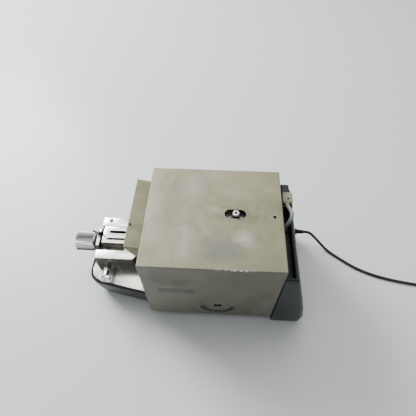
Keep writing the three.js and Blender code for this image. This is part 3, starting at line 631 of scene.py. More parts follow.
def circle(a, b, r, sides, start=0.0, sweep=math.tau):
    """Points round a circle, or along an arc with both its ends."""
    count = sides + 1 if abs(sweep) < math.tau else sides
    angles = [start + sweep * i / sides for i in range(count)]
    return [(a + r * math.cos(angle), b + r * math.sin(angle)) for angle in angles]


def stadium(a, b, half, r, sides=24):
    right = circle(a + half, b, r, sides, -math.pi / 2, math.pi)
    return right + circle(a - half, b, r, sides, math.pi / 2, math.pi)


def lathe(name, axis, centre, profile, sides=64):
    """A turned piece from [radius, station] points about an axis through the centre."""
    bm = bmesh.new()
    rings = []
    for r, along in profile:
        ring = []
        for i in range(sides if r > 0 else 1):
            angle = math.tau * i / sides
            a = centre[0] + r * math.cos(angle)
            b = centre[1] + r * math.sin(angle)
            ring.append(bm.verts.new(mm(*on_axis(axis, a, b, along))))
        rings.append(ring)
    for low, high in zip(rings, rings[1:]):
        for i in range(sides):
            j = (i + 1) % sides
            corners = low[i % len(low)], low[j % len(low)], high[j % len(high)], high[i % len(high)]
            unique = list(dict.fromkeys(corners))
            if len(unique) > 2:
                bm.faces.new(unique)
    return mesh_of(name, bm)


def loft(name, rings):
    """A skin through rings of [x, y, z] points with equal counts, closed at both ends."""
    bm = bmesh.new()
    made = [[bm.verts.new(mm(*p)) for p in ring] for ring in rings]
    for low, high in zip(made, made[1:]):
        for i in range(len(low)):
            j = (i + 1) % len(low)
            bm.faces.new((low[i], low[j], high[j], high[i]))
    bm.faces.new(made[0])
    bm.faces.new(made[-1])
    return mesh_of(name, bm)


def bevel(obj, width, segments=3, angle=35):
    made = obj.modifiers.new("edge", "BEVEL")
    made.width = width * SCALE
    made.segments = segments
    made.limit_method = "ANGLE"
    made.angle_limit = math.radians(angle)
    return obj


def eased(name, mesh, width, segments):
    """A mesh with its sharp edges rounded."""
    obj = link_mesh(name, mesh)
    result = bake(bevel(obj, width, segments)).data
    drop(obj)
    return result


def carve(obj, *meshes):
    """Cuts closed meshes out of a piece."""
    cutters = [link_mesh("cutter", mesh) for mesh in meshes]
    for cutter in cutters:
        made = obj.modifiers.new("carve", "BOOLEAN")
        made.operation = "DIFFERENCE"
        made.solver = "EXACT"
        made.object = cutter
    bake(obj)
    drop(*cutters)
    return obj


def fuse(name, *meshes):
    """Several closed meshes as one piece."""
    bm = bmesh.new()
    for mesh in meshes:
        bm.from_mesh(mesh)
    joined = bpy.data.meshes.new(name)
    bm.to_mesh(joined)
    bm.free()
    return joined


def smooth_path(points, step):
    """Points on a smooth curve through the route, about `step` mm apart."""
    spots = [Vector(p) for p in points]
    ends = [spots[0] * 2 - spots[1], *spots, spots[-1] * 2 - spots[-2]]
    out = []
    for i in range(1, len(ends) - 2):
        p0, p1, p2, p3 = ends[i - 1:i + 3]
        count = max(2, round((p2 - p1).length / step))
        for k in range(count):
            t = k / count
            bend = (2 * p0 - 5 * p1 + 4 * p2 - p3) * t * t
            twist = (3 * p1 - p0 - 3 * p2 + p3) * t * t * t
            out.append(0.5 * (2 * p1 + (p2 - p0) * t + bend + twist))
    out.append(spots[-1])
    return out


def curve_piece(name, points, radius, resolution):
    """A round cord along points, as a curve object."""
    data = bpy.data.curves.new(name, "CURVE")
    data.dimensions = "3D"
    data.bevel_depth = radius * SCALE
    data.bevel_resolution = resolution
    data.use_fill_caps = True
    line = data.splines.new("POLY")
    line.points.add(len(points) - 1)
    for spot, point in zip(line.points, points):
        spot.co = (*(Vector(point) * SCALE), 1)
    line.use_smooth = True
    return link_mesh(name, data)


# ---------- repeated ribs, teeth and threads ----------
def make_growth_tree(name, inputs):
    """A tree that copies a piece to points, makes the copies real and gives them a Material."""
    tree = bpy.data.node_groups.new(name, "GeometryNodeTree")
    shape, finish = ("Geometry", "NodeSocketGeometry", None), ("Material", "NodeSocketMaterial", None)
    for label, kind, default in [shape, *inputs, finish]:
        socket = tree.interface.new_socket(label, in_out="INPUT", socket_type=kind)
        if default is not None:
            socket.default_value = default
    tree.interface.new_socket("Geometry", in_out="OUTPUT", socket_type="NodeSocketGeometry")
    start = tree.nodes.new("NodeGroupInput")
    end = tree.nodes.new("NodeGroupOutput")
    place = node(tree, "GeometryNodeInstanceOnPoints")
    real = node(tree, "GeometryNodeRealizeInstances")
    paint = node(tree, "GeometryNodeSetMaterial")
    wire(tree, (place, "Instances", real, "Geometry"), (real, "Geometry", paint, "Geometry"),
         (start, "Material", paint, "Material"), (paint, "Geometry", end, "Geometry"))
    return tree, start, place


def make_ring_tree():
    """Bars stood round a circle: knurls, teeth and flutes."""
    tree, start, place = make_growth_tree("bars_round_a_ring", [
        ("Count", COUNT, 24), ("Radius", FLOAT, 0.01), ("Bar Size", VECTOR, (0.001, 0.001, 0.01)),
        ("Lean", FLOAT, 0.0)])
    ring = node(tree, "GeometryNodeMeshCircle")
    bar = node(tree, "GeometryNodeMeshCube")
    order = node(tree, "GeometryNodeInputIndex")
    step = node(tree, "ShaderNodeMath", operation="DIVIDE", inputs={0: math.tau})
    angle = node(tree, "ShaderNodeMath", operation="MULTIPLY_ADD", inputs={2: math.pi / 4})
    turn = node(tree, "ShaderNodeCombineXYZ")
    wire(tree, (start, "Count", ring, "Vertices"), (start, "Radius", ring, "Radius"),
         (start, "Bar Size", bar, "Size"), (start, "Count", step, 1), (order, "Index", angle, 0),
         (step, "Value", angle, 1), (start, "Lean", turn, "X"), (angle, "Value", turn, "Z"),
         (ring, "Mesh", place, "Points"), (bar, "Mesh", place, "Instance"),
         (turn, "Vector", place, "Rotation"))
    return tree


def make_row_tree():
    """The piece's own mesh repeated along a line: threads, fins and grip ribs."""
    tree, start, place = make_growth_tree("piece_along_a_row", [
        ("Count", COUNT, 10), ("Step", VECTOR, (0.002, 0, 0))])
    line = node(tree, "GeometryNodeMeshLine")
    wire(tree, (start, "Count", line, "Count"), (start, "Step", line, "Offset"),
         (line, "Mesh", place, "Points"), (start, "Geometry", place, "Instance"))
    return tree


RING_TREE = make_ring_tree()
ROW_TREE = make_row_tree()
TURN_TO = {  # turns a ring that stands on Z to each axis
    "x": Matrix.Rotation(math.pi / 2, 4, "Y"),
    "y": Matrix.Rotation(-math.pi / 2, 4, "X"),
    "z": Matrix.Identity(4),
}


def grow(mesh, tree, **inputs):
    """Runs a node tree over a mesh and returns the plain result."""
    obj = link_mesh("grown", mesh)
    modifier = obj.modifiers.new("grow", "NODES")
    modifier.node_group = tree
    entries = [item for item in tree.interface.items_tree if item.in_out == "INPUT"]
    sockets = {item.name: item.identifier for item in entries}
    for label, value in inputs.items():
        modifier[sockets[label.replace("_", " ")]] = value
    bake(obj)
    result = obj.data
    drop(obj)
    return result


def ring_of_bars(axis, centre, along, count, radius, bar, material, lean=0.0):
    """Bars round an axis, their middle at station `along`; bar is (across, deep, long) in mm."""
    mesh = grow(bpy.data.meshes.new("ring"), RING_TREE, Count=count, Radius=radius * SCALE,
                Bar_Size=Vector(bar) * SCALE, Lean=lean, Material=material)
    mesh.transform(Matrix.Translation(mm(*on_axis(axis, *centre, along))) @ TURN_TO[axis])
    return mesh


def row_of(mesh, count, step, material):
    return grow(mesh, ROW_TREE, Count=count, Step=Vector(step) * SCALE, Material=material)


# ---------- putting pieces in the frame ----------
MATERIALS = make_materials()
BODIES = frame["record"]["behaviour"]["bodies"]
BODY_OF = {name: body for body, names in BODIES.items() for name in names}


def settle(obj, material, *nodes):
    """Gives a piece its finish and its place on the body of the CAD node it stands for."""
    if material is not None:
        obj.data.materials.clear()
        obj.data.materials.append(MATERIALS[material])
    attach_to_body(obj, BODY_OF[nodes[0]])
    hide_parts(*nodes)
    return obj


def attach(obj, material, node_name):
    """A further piece that rides with a CAD node without standing for it."""
    obj.data.materials.clear()
    obj.data.materials.append(MATERIALS[material])
    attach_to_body(obj, BODY_OF[node_name])
    return obj


def piece(name, mesh, material, *nodes, angle=32):
    """A smooth-shaded piece that stands for CAD nodes."""
    smooth(mesh, angle)
    return settle(link_mesh(name, mesh), material, *nodes)


def refine(node_name, material, width=0.5, segments=2):
    """The CAD shape with its flats joined up and its edges eased."""
    bm = bmesh.new()
    bm.from_mesh(frame["nodes"][node_name].data)
    bmesh.ops.remove_doubles(bm, verts=bm.verts, dist=1e-6)
    bmesh.ops.dissolve_limit(bm, angle_limit=math.radians(0.5), verts=bm.verts, edges=bm.edges)
    mesh = bpy.data.meshes.new(node_name + "_fine")
    bm.to_mesh(mesh)
    bm.free()
    obj = link_mesh(node_name + "_fine", mesh)
    bake(bevel(obj, width, segments, 30))
    smooth(obj.data)
    return settle(obj, material, node_name)


# ---------- cover ----------
def rounded_box_open(name, low, high, radius):
    """A folded sheet box without its underside, its folds rounded."""
    bm = bmesh.new()
    bmesh.ops.create_cube(bm, size=1)
    for vert in bm.verts:
        for k in range(3):
            vert.co[k] = high[k] if vert.co[k] > 0 else low[k]
    bottom = [f for f in bm.faces if all(abs(v.co.z - low.z) < 1e-7 for v in f.verts)]
    bmesh.ops.delete(bm, geom=bottom, context="FACES")
    folds = [e for e in bm.edges if len(e.link_faces) == 2]
    bmesh.ops.bevel(bm, geom=folds, offset=radius * SCALE, segments=4, profile=0.5, affect="EDGES")
    bmesh.ops.recalc_face_normals(bm, faces=bm.faces)
    mesh = bpy.data.meshes.new(name)
    bm.to_mesh(mesh)
    bm.free()
    return mesh


def build_cover():
    """The sheet cover with its post slot, screw hole, dial hole and stepped port at the knife end."""
    low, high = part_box("cover")
    cover = link_mesh("cover_shell", rounded_box_open("cover_shell", low, high, COVER_EDGE))
    sheet = cover.modifiers.new("sheet", "SOLIDIFY")
    sheet.thickness = COVER_WALL * SCALE
    sheet.offset = -1
    sheet.use_even_offset = True
    bake(cover)
    x0, top = low.x / SCALE, high.z / SCALE
    front = low.y / SCALE
    cutters = [
        prism("slot", "z", top - 8, top + 4, stadium(SLOT["x"], SLOT["y"], SLOT["half"], SLOT["r"])),
        prism("screw_hole", "z", top - 8, top + 4, circle(COVER_SCREW["x"], 0, COVER_SCREW["r"], 32)),
        prism("dial_hole", "y", front - 4, front + 8, circle(DIAL["x"], DIAL["z"], DIAL["hole"], 48)),
        prism("port", "x", x0 - 4, x0 + 8, [
            (-NOTCH["half_y"], 0), (NOTCH["half_y"], 0), (NOTCH["half_y"], NOTCH["z"]),
            (PORT["half_y"], NOTCH["z"]), (PORT["half_y"], PORT["z"]), (-PORT["half_y"], PORT["z"]),
            (-PORT["half_y"], NOTCH["z"]), (-NOTCH["half_y"], NOTCH["z"])]),
    ]
    carve(cover, *cutters)
    smooth(cover.data, 25)
    settle(cover, "cover", "cover")


def build_visor():
    """The sloped sheet visor over the knife slide, with its fixing screw."""
    v = VISOR
    wall_x = v["wall_x"]
    side = [(v["tip"], v["z_tip"]), (v["tip"], v["z_tip"] - 5), (wall_x, v["z_wall"] - v["drop"]),
            (wall_x, v["z_wall"])]
    shell = link_mesh("visor_shell", prism("visor_shell", "y", v["y0"], v["y1"], side))
    bake(bevel(shell, 1.4, 4, 20))
    inner = [(v["tip"] - 3, v["z_tip"] - 1.4), (v["tip"] - 3, v["z_tip"] - 70),
             (wall_x + 3, v["z_tip"] - 90), (wall_x + 3, v["z_wall"] - 2.2)]
    hollow = prism("hollow", "y", v["y0"] + v["wall"], v["y1"] - v["wall"], inner)
    x, y = v["tip"] + v["hole_in"], v["hole_y"]
    hole = prism("hole", "z", v["z_tip"] - 10, v["z_tip"] + 5, circle(x, y, v["hole_r"], 24))
    carve(shell, hollow, hole)
    smooth(shell.data, 25)
    settle(shell, "visor", "visor")
    # Painted shade: the screw head over the fixing hole is black, standing in for the dark hole.
    top = v["z_tip"] - 0.75
    screw = lathe("visor_screw", "z", (x, y), [
        (0, top - 4), (1.4, top - 4), (1.4, top), (2.3, top), (2.3, top + 0.7), (1.9, top + 1.1),
        (0, top + 1.2)], 32)
    smooth(screw)
    attach(link_mesh("visor_screw_shaded_black", screw), "rubber", "visor")


def dial_number(text, x, y, z, angle):
    """A raised number on the dial's face, turned with its tick."""
    curve = bpy.data.curves.new("number", "FONT")
    curve.body = text
    curve.size = DIAL["text"] * SCALE
    curve.align_x = "CENTER"
    curve.align_y = "CENTER"
    curve.extrude = 0.06 * SCALE
    holder = link_mesh("number", curve)
    letters = evaluated_mesh(holder)
    drop(holder)
    upright = Matrix.Rotation(math.pi / 2, 4, "X") @ Matrix.Rotation(angle + math.pi / 2, 4, "Z")
    letters.transform(Matrix.Translation(mm(x, y, z)) @ upright)
    return letters


def build_dial():
    """The half-round printed band below the knob hole, with plain numbers and ticks."""
    x, y, z = DIAL["x"], DIAL["face"], DIAL["z"]
    inner, outer = DIAL["inner"], DIAL["outer"]
    lead, sweep = DIAL["lead"], math.pi - 2 * DIAL["lead"]
    ring = circle(x, z, outer, 60, math.pi + lead, sweep)
    ring += circle(x, z, inner, 60, -lead, -sweep)
    piece("dial_band", prism("dial_band", "y", y - 0.35, y, ring), "print", "dial_scale")
    marks = bmesh.new()
    intervals = 2 * DIAL["steps"]
    stand = Matrix.Rotation(math.pi / 2, 4, "X")
    radius = (inner + outer) / 2 + 1.5
    for i in range(intervals + 1):
        angle = math.pi + lead + sweep * (i + 0.6) / (intervals + 1.2)
        length = 2.4 if i % 2 == 0 else 1.3
        bar = block("tick", inner + 0.4, inner + 0.4 + length, -0.25, 0.25, 0, 0.12)
        spin = Matrix.Rotation(-angle, 4, "Y")
        bar.transform(Matrix.Translation(mm(x, y - 0.33, z)) @ spin @ stand)
        marks.from_mesh(bar)
        if i % 4 == 0:
            spot = (x + radius * math.cos(angle), y - 0.41, z + radius * math.sin(angle))
            marks.from_mesh(dial_number(str(5 * i // 2), *spot, angle))
    mesh = bpy.data.meshes.new("dial_marks")
    marks.to_mesh(mesh)
    marks.free()
    attach(link_mesh("dial_marks", mesh), "numerals", "dial_scale")


# ---------- base ----------
def quadratic(a, b, c, count):
    """Points from a to c on a curve pulled towards b, without a itself."""
    points = []
    for i in range(1, count + 1):
        t = i / count
        weights = (1 - t) ** 2, 2 * t * (1 - t), t * t
        points.append(tuple(weights[0] * p + weights[1] * q + weights[2] * r for p, q, r in zip(a, b, c)))
    return points


def hull_outline(inset, count=14):
    """Plan outline of the boat-shaped base, drawn in all round."""
    nose = BASE["nose"] + inset
    cheek = BASE["cheek"] - inset
    beam = BASE["beam"] - inset
    stern = BASE["stern"] - inset
    straight = (BASE["straight_x"], beam)
    turn = (BASE["cheek_x"] + inset, cheek)
    upper = [(stern, beam), straight]
    upper += quadratic(straight, (BASE["bow_x"], beam), turn, count)
    upper += quadratic(turn, (nose, cheek - 5), (nose, BASE["half_nose"]), count)
    return upper + [(x, -y) for x, y in reversed(upper)]


def hull_ring(inset, z):
    return [(x, y, z) for x, y in hull_outline(inset)]


def build_casting():
    """The slate hull: a tapered skin, hollow inside, with four pillars for the chassis."""
    taper, bottom, rim = BASE["taper"], BASE["bottom"], BASE["rim"]
    rise = rim - bottom - BASE["turn"]
    outside = [hull_ring(taper + 5, bottom), hull_ring(taper + 2.2, bottom + 0.7),
               hull_ring(taper + 0.6, bottom + 2.6), hull_ring(taper * 0.8, bottom + 6)]
    for k in range(1, 5):
        flare = taper * 0.3 * (1.6 - 0.6 * k / 4) * (1 - k / 5)
        outside.append(hull_ring(flare, bottom + BASE["turn"] + rise * k / 5))
    outside += [hull_ring(0, rim - 1.2), hull_ring(0.4, rim - 0.3), hull_ring(1.2, rim)]
    shell = link_mesh("base_casting", loft("base_casting", outside))
    wall = BASE["wall"]
    well = [hull_ring(taper + wall + 3, bottom + 4), hull_ring(taper + wall, bottom + 7),
            hull_ring(wall, rim + 1)]
    carve(
        shell,
        loft("well", well),
        block("stern_step", 178, 190, -120, 120, 20, 80),
        block("dial_way", DIAL["x"] - 16, DIAL["x"] + 16, -120, -80, 52, 80),
    )
    profile = [(0, 8), (8.5, 8), (8, 12), (8, 41.2), (7.4, 41.7), (0, 41.7)]
    pillars = [lathe("pillar", "z", (x, y), profile, 32) for x in (-40, 150) for y in (-70, 70)]
    casting = fuse("base_casting", shell.data, *pillars)
    drop(shell)
    piece("base_casting_shell", casting, "slate", "base_shell", angle=28)


def build_trim():
    """A rounded bead of rubber along the rim, flat underneath."""
    width, z0, z1 = TRIM["width"], TRIM["z0"], TRIM["z1"]
    section = [(0.0, z0), (-0.25, z0 + 1.2), (0.0, z0 + 2.6), (0.1, z1 - 1.6), (0.7, z1 - 0.4),
               (1.7, z1), (2.7, z1 - 0.4), (width, z1 - 1.6), (width, z0)]
    rows = [[p for p in hull_ring(inset, z) if p[0] < TRIM["start"]] for inset, z in section]
    bm = bmesh.new()
    made = [[bm.verts.new(mm(*p)) for p in row] for row in rows]
    for low, high in zip(made, made[1:] + made[:1]):
        for i in range(len(low) - 1):
            bm.faces.new((low[i], low[i + 1], high[i + 1], high[i]))
    for end in (0, -1):
        bm.faces.new([row[end] for row in made])
    trim = link_mesh("rim_bead", mesh_of("rim_bead", bm))
    carve(trim, block("end", TRIM["end"], 0, -150, 150, 50, 90))
    smooth(trim.data, 50)
    settle(trim, "rubber", "rubber_trim")


def build_base():
    build_casting()
    build_trim()
    refine("deck_plate", "nickel", 0.6, 3)
    refine("chassis_plate", "aluminium", 0.5)
    foot = [(0, 0.6), (4, 0.6), (4.6, 0), (9.6, 0), (10.6, 0.6), (12, 4.6), (12, 5.2), (11.6, 5.7), (0, 5.7)]
    for name in ("foot_front_left", "foot_front_right", "foot_rear_left", "foot_rear_right"):
        low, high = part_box(name)
        centre = ((low.x + high.x) / 2 / SCALE, (low.y + high.y) / 2 / SCALE)
        piece(name + "_rubber", lathe(name, "z", centre, foot, 48), "rubber", name)


# ---------- knife stage ----------
def thread_mesh(axis, centre, start, end, radius, pitch, material):
    """A threaded rod: a core with a row of V-shaped ridges."""
    root, half = radius - 0.9, pitch / 2
    core = lathe("core", axis, centre, [(0, start), (root, start), (root, end), (0, end)], 32)
    ridge = lathe("ridge", axis, centre, [
        (radius - 0.95, start), (radius - 0.1, start + half * 0.8), (radius - 0.1, start + half * 1.2),
        (radius - 0.95, start + pitch), (radius - 1.2, start + half), (radius - 0.95, start)], 32)
    count = int((end - start) / pitch)
    return fuse("thread", core, row_of(ridge, count, on_axis(axis, 0, 0, pitch), material))


KNURL_WIDTH = 0.62  # share of the pitch that a bar fills
KNURL_SINK = 0.52  # share of its width that a bar is set in


def knurled_head(axis, centre, start, end, radius, count, material):
    """Straight knurling round a knob: narrow bars set corner out."""
    side = math.tau * radius / count * KNURL_WIDTH
    bar = (side, side, end - start)
    return ring_of_bars(axis, centre, (start + end) / 2, count, radius - side * KNURL_SINK, bar, material)


def build_stage_knob():
    spot = (KNOB["y"], KNOB["z"])
    low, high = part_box("leadscrew")
    screw = thread_mesh("x", spot, low.x / SCALE, high.x / SCALE, KNOB["screw"], KNOB["pitch"],
                        MATERIALS["steel"])
    piece("stage_leadscrew", screw, "steel", "leadscrew")
    x0, x1, r = KNOB["x0"], KNOB["x1"], KNOB["r"]
    profile = [(0, x0 + 1.2), (7, x0 + 1.2), (7.6, x0 + 0.3), (8.4, x0), (16.4, x0), (17.4, x0 + 0.5),
               (r - 1.2, x0 + 3), (r - 1.2, x1 - 7.4), (17.8, x1 - 4.8), (17, x1 - 4.4), (9.6, x1 - 3.8),
               (9, x1 - 3.2), (9, x1 - 0.5), (8.5, x1), (0, x1)]
    body = lathe("knob", "x", spot, profile, 96)
    knurl = knurled_head("x", spot, x0 + 3.4, x1 - 7.6, r, 72, MATERIALS["chrome"])
    piece("stage_knurled_knob", fuse("knob", body, knurl), "chrome", "stage_knob")


def build_lock_screw():
    """The wing screw that locks the slide: a turned hub with two bent wings."""
    base, rise, span, half = LOCK["base"], LOCK["wing_base"], LOCK["wing"], LOCK["thick"] / 2
    hub = lathe("hub", "z", (LOCK["x"], LOCK["y"]), [
        (0, base - 7.5), (1.5, base - 7.5), (1.5, base), (3.4, base), (4, base + 0.6), (4, rise + 2.4),
        (3.4, rise + 3), (2, rise + 3.6), (0, rise + 3.8)], 40)
    outline = [(1, 0.2), (4.5, 0.1), (8, 2.6), (span - 1, 5.8), (span, 8.2), (span - 0.6, 9.8), (10, 10),
               (8, 9.2), (5, 5), (1, 2.6)]
    wings = []
    for side in (-1, 1):
        turned = [(LOCK["x"] + side * a, rise + h) for a, h in outline]
        wings.append(eased("wing", prism("wing", "y", LOCK["y"] - half, LOCK["y"] + half, turned), 0.5, 3))
    piece("stage_lock_wing_screw", fuse("lock", hub, *wings), "dark_steel", "lock_screw")


def build_rail_clamp():
    """The turned clamp screw on the near side, with a knurled head and a necked shank."""
    spot = (RAIL_CLAMP["x"], RAIL_CLAMP["z"])
    shank, head, neck, tip, root = (RAIL_CLAMP[key] for key in ("shank", "head", "neck", "tip", "root"))
    clamp = [(0, tip + 1.2), (2.6, tip + 1.2), (3.2, tip + 0.2), (3.8, tip), (head - 3, tip),
             (head - 1.4, tip + 0.8), (head - 0.8, tip + 1.9), (head - 0.8, tip + 6.8), (9.2, tip + 8.2),
             (8.6, tip + 8.6), (shank, tip + 9), (shank, tip + 20.2), (shank - 0.4, tip + 20.6),
             (neck, tip + 21), (neck, tip + 22.4), (shank - 0.4, tip + 22.8), (shank, tip + 23.2),
             (shank, root), (0, root)]
    turned = lathe("clamp", "y", spot, clamp, 64)
    grip = knurled_head("y", spot, tip + 2, tip + 6.6, head, 56, MATERIALS["chrome"])
    piece("rail_clamp_knob", fuse("clamp", turned, grip), "chrome", "rail_clamp_screw")
    # Painted shade: a blackened disc in the end face's recess stands in for the shade of the centre hole.
    dot = [(0, tip + 0.7), (2.4, tip + 0.7), (2.4, tip + 1.6), (0, tip + 1.6)]
    plug = link_mesh("clamp_centre_shade_disc", lathe("clamp_dot", "y", spot, dot, 24))
    attach(plug, "dark_steel", "rail_clamp_screw")


def build_dome_screw():
    """The slotted dome-headed screw at the far end of the stage."""
    x, y, half = DOME["x"], DOME["y"], DOME["slot"] / 2
    top = STAGE_TOP + 0.3
    dome = link_mesh("dome_head", lathe("dome_head", "z", (x, y), [
        (0, top), (DOME["r"], top), (DOME["r"], top + 0.5), (4.1, top + 1.7), (3.1, top + 2.7),
        (1.6, top + 3.2), (0, top + 3.4)], 40))
    carve(dome, block("slot", x - 6, x + 6, y - half, y + half, top + 2.1, top + 5))
    smooth(dome.data)
    settle(dome, "chrome", "stage_dome_screw")


def build_stage():
    refine("stage_body", "stage", 0.7, 3)
    refine("stage_slide", "stage", 0.6, 3)
    refine("screw_bracket", "stage", 0.7, 3)
    refine("brass_stop", "brass", 0.8, 3)
    build_stage_knob()
    build_lock_screw()
    build_rail_clamp()
    build_dome_screw()


# ---------- rear housing ----------
# z, reach in X, near end, far end, near corner radius, far corner radius
HOUSING_LEVELS = [
    (4, 243, -113, 113, 7, 16), (4.8, 245.6, -115.6, 115.6, 8, 18), (7.5, 247, -116.8, 116.8, 9, 19),
    (31, 249, -118, 118, 10, 20), (70, 241, -117.6, 116.6, 9, 19), (109, 232, -117, 115, 8, 18),
    (153, 220.6, -116, 111.6, 6.6, 18), (192, 210.3, -115.2, 108.4, 5.2, 18),
    (198.5, 208.3, -114.8, 107.2, 5, 18), (202, 206.8, -113.9, 105.6, 4.4, 17.4),
    (203.5, 205.6, -112.9, 104, 3.6, 17), (204, 204.2, -111.9, 102.6, 3, 16),
]


def housing_ring(level, inset, open_by):
    """Outline of the housing at a level, drawn in by the inset and open towards the cover."""
    z, reach, near, far, r_near, r_far = level
    y0, y1, x1 = near + inset, far - inset, reach - inset
    outline = [(HOUSING["x0"] - open_by, y0)]
    outline += circle(x1 - r_near, y0 + r_near, r_near, 12, -math.pi / 2, math.pi / 2)
    outline += circle(x1 - r_far, y1 - r_far, r_far, 16, 0, math.pi / 2)
    outline.append((HOUSING["x0"] - open_by, y1))
    return [(x, y, z) for x, y in outline]


def build_housing():
    """The slate rear housing: a lofted skin, hollow, with the recess beside the cover in its top."""
    shell = link_mesh("housing", loft("housing", [housing_ring(level, 0, 0) for level in HOUSING_LEVELS]))
    inner = [level for level in HOUSING_LEVELS if 7 < level[0] < 193]
    rings = [housing_ring(level, HOUSING["wall"], 2) for level in inner]
    x_mid = HOUSING["x0"] - 20
    x1, y0, y1, r = RECESS["x1"], RECESS["y0"], RECESS["y1"], RECESS["corner"]
    recess = [(x_mid, y0), (x1 - r, y0)]
    recess += circle(x1 - r, y0 + r, r, 8, -math.pi / 2, math.pi / 2)[1:]
    recess += circle(x1 - r, y1 - r, r, 8, 0, math.pi / 2)
    recess.append((x_mid, y1))
    carve(
        shell,
        loft("inside", rings),
        prism("recess", "z", RECESS["z"], 215, recess),
        prism("cord_way", "x", 228, 256, circle(GLAND["y"], GLAND["z"], 6, 40)),
    )
    smooth(shell.data, 30)
    settle(shell, "slate", "rear_housing")
    # Painted shade: the recess floor takes the black moulding, darker than its own dark slate, standing in
    # for the shade in the recess.
    refine("recess_floor", "black", 0.4)
    refine("transformer_core", "laminations", 0.4)
    refine("transformer_coil", "copper", 1.5, 3)
    refine("control_board", "board", 0.2, 1)


# ---------- connector and control cable ----------
def build_hood():
    """The beige connector hood with its parting line, fixing screw hole and brass cable clamp."""
    low, high = (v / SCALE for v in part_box("connector_hood"))
    fixing = HOOD_FIXING["x"], HOOD_FIXING["y"]
    hood = link_mesh("hood", block("hood", low.x, high.x, low.y, high.y, low.z, high.z))
    bake(bevel(hood, 1.6, 4))
    carve(
        hood,
        prism("screw_seat", "z", high.z - 2, high.z + 2, circle(*fixing, 2.6, 32)),
        prism("screw_bore", "z", high.z - 5, high.z + 2, circle(*fixing, 1.4, 24)),
        block("parting", low.x - 1, low.x + 0.4, low.y - 1, high.y + 1, 211, 211.5),
        block("parting_far", high.x - 0.4, high.x + 1, low.y - 1, high.y + 1, 211, 211.5),
        block("step", low.x - 1, low.x + 1.2, high.y - 6, high.y + 1, low.z - 1, high.z + 1),
    )
    smooth(hood.data)
    settle(hood, "beige", "connector_hood")
    clamp = block("cable_clamp", 188, 206, low.y - 1.6, low.y - 0.1, 205.4, 217)
    plate = link_mesh("cable_clamp_plate", clamp)
    bake(bevel(plate, 0.8, 3))
    attach(plate, "brass", "connector_hood")


def build_connector():
    refine("control_socket", "black", 3.0, 4)
    build_hood()
    head = [(0, 40.9), (1.2, 40.9), (1.6, 40.5), (2.3, 40.6), (2.5, 41.2), (2.5, 46.8), (2.1, 47.3),
            (1.4, 47.7), (0, 47.7)]
    for name, x in HOOD_SCREWS.items():
        spot = (x, HOOD_SCREW_Z)
        body = lathe(name, "y", spot, head, 32)
        grip = knurled_head("y", spot, 41.3, 46.7, 2.9, 20, MATERIALS["dark_steel"])
        piece(name + "_knurled", fuse(name, body, grip), "dark_steel", name)
    cable = curve_piece("control_cable_jacket", smooth_path(CABLE_ROUTE, 1.5), CABLE["r"] - 0.05, 8)
    mesh = evaluated_mesh(cable)
    drop(cable)
    piece("control_cable_run", mesh, "grey", "control_cable", angle=60)


# ---------- mains lead ----------
def coil_points():
    """The turns of the tied coil, clockwise from where the lead meets it, three abreast and two high."""
    pitch = CORD["r"] * 2 + COIL["gap"]
    columns = COIL["columns"]
    middle = (columns - 1) / 2
    per_turn = 36
    spots = []
    for i in range(COIL["turns"] * per_turn + per_turn // 4 + 1):
        turn = i / per_turn
        angle = math.pi / 2 - math.tau * turn
        lane = min(turn, COIL["turns"])
        if lane <= columns - 0.5:
            column = middle - min(lane, columns - 1)
        else:
            column = -middle + min(lane - columns + 0.5, columns - 1)
        climb = min(max((lane - (columns - 0.75)) / 0.5, 0), 1)
        rise = climb * climb * (3 - 2 * climb) * (CORD["r"] * 2 + COIL["layer_gap"])
        radius = COIL["mean"] + column * pitch
        x = COIL["x"] + radius * math.cos(angle)
        y = COIL["y"] + radius * math.sin(angle)
        spots.append((x, y, CORD["z"] + rise))
    return spots


def build_gland():
    """The ribbed, tapering strain relief where the lead leaves the housing."""
    x0, x1, stub, collar = GLAND["x0"], GLAND["x1"], GLAND["stub"], GLAND["collar"]
    profile = [(0, x0 - 7), (stub, x0 - 7), (stub, x0), (collar - 0.5, x0), (collar, x0 + 0.5),
               (collar, x0 + 2.6), (collar - 0.6, x0 + 3)]
    ribs = 6
    length = x1 - x0 - 5
    for k in range(ribs):
        start = x0 + 4 + length * k / ribs
        r = 5.4 - 1.5 * k / ribs
        profile += [(r, start), (r, start + length / ribs * 0.6), (r - 0.7, start + length / ribs * 0.7)]
    profile += [(3.9, x1 - 0.4), (3.5, x1), (0, x1)]
    gland = lathe("gland", "x", (GLAND["y"], GLAND["z"]), profile, 48)
    return piece("lead_strain_relief", gland, "rubber", "cord_gland")


def lead_points(tail_x):
    """The lead from the strain relief along the table, round its coil and out to the plug."""
    join_y = COIL["y"] + COIL["mean"] + CORD["r"] * 2 + COIL["gap"]
    lead_in = [Vector((x, join_y, CORD["z"])) for x in (572, 580)]
    coil = coil_points()
    last = Vector(coil[-1])
    tail = [Vector((last.x + (tail_x - last.x) * t, last.y - 22 * t, last.z + (PLUG["z"] - last.z) * t))
            for t in (0.25, 0.5, 0.75, 1.0)]
    return smooth_path(CORD_ROUTE, 3) + lead_in + [Vector(p) for p in coil] + tail


# Sections of the plug body: station, half width, half height, height of the middle.
PLUG_SECTIONS = [
    (-104, 4.8, 4.8, 5.4), (-106, 6.6, 6.2, 6.8), (-112, 9.6, 7.6, 8.2), (-120, 13, 8.4, 9),
    (-128, 13.7, 8.6, 9.1), (-134, 12.6, 8.2, 9.1), (-140, 13.6, 8.6, 9.1), (-141.6, 13.4, 8.4, 9.1),
    (-142, 12.6, 7.8, 9.1),
]


def softened(value):
    """A cosine or sine pushed outwards, which squares an ellipse."""
    return math.copysign(abs(value) ** 0.7, value)


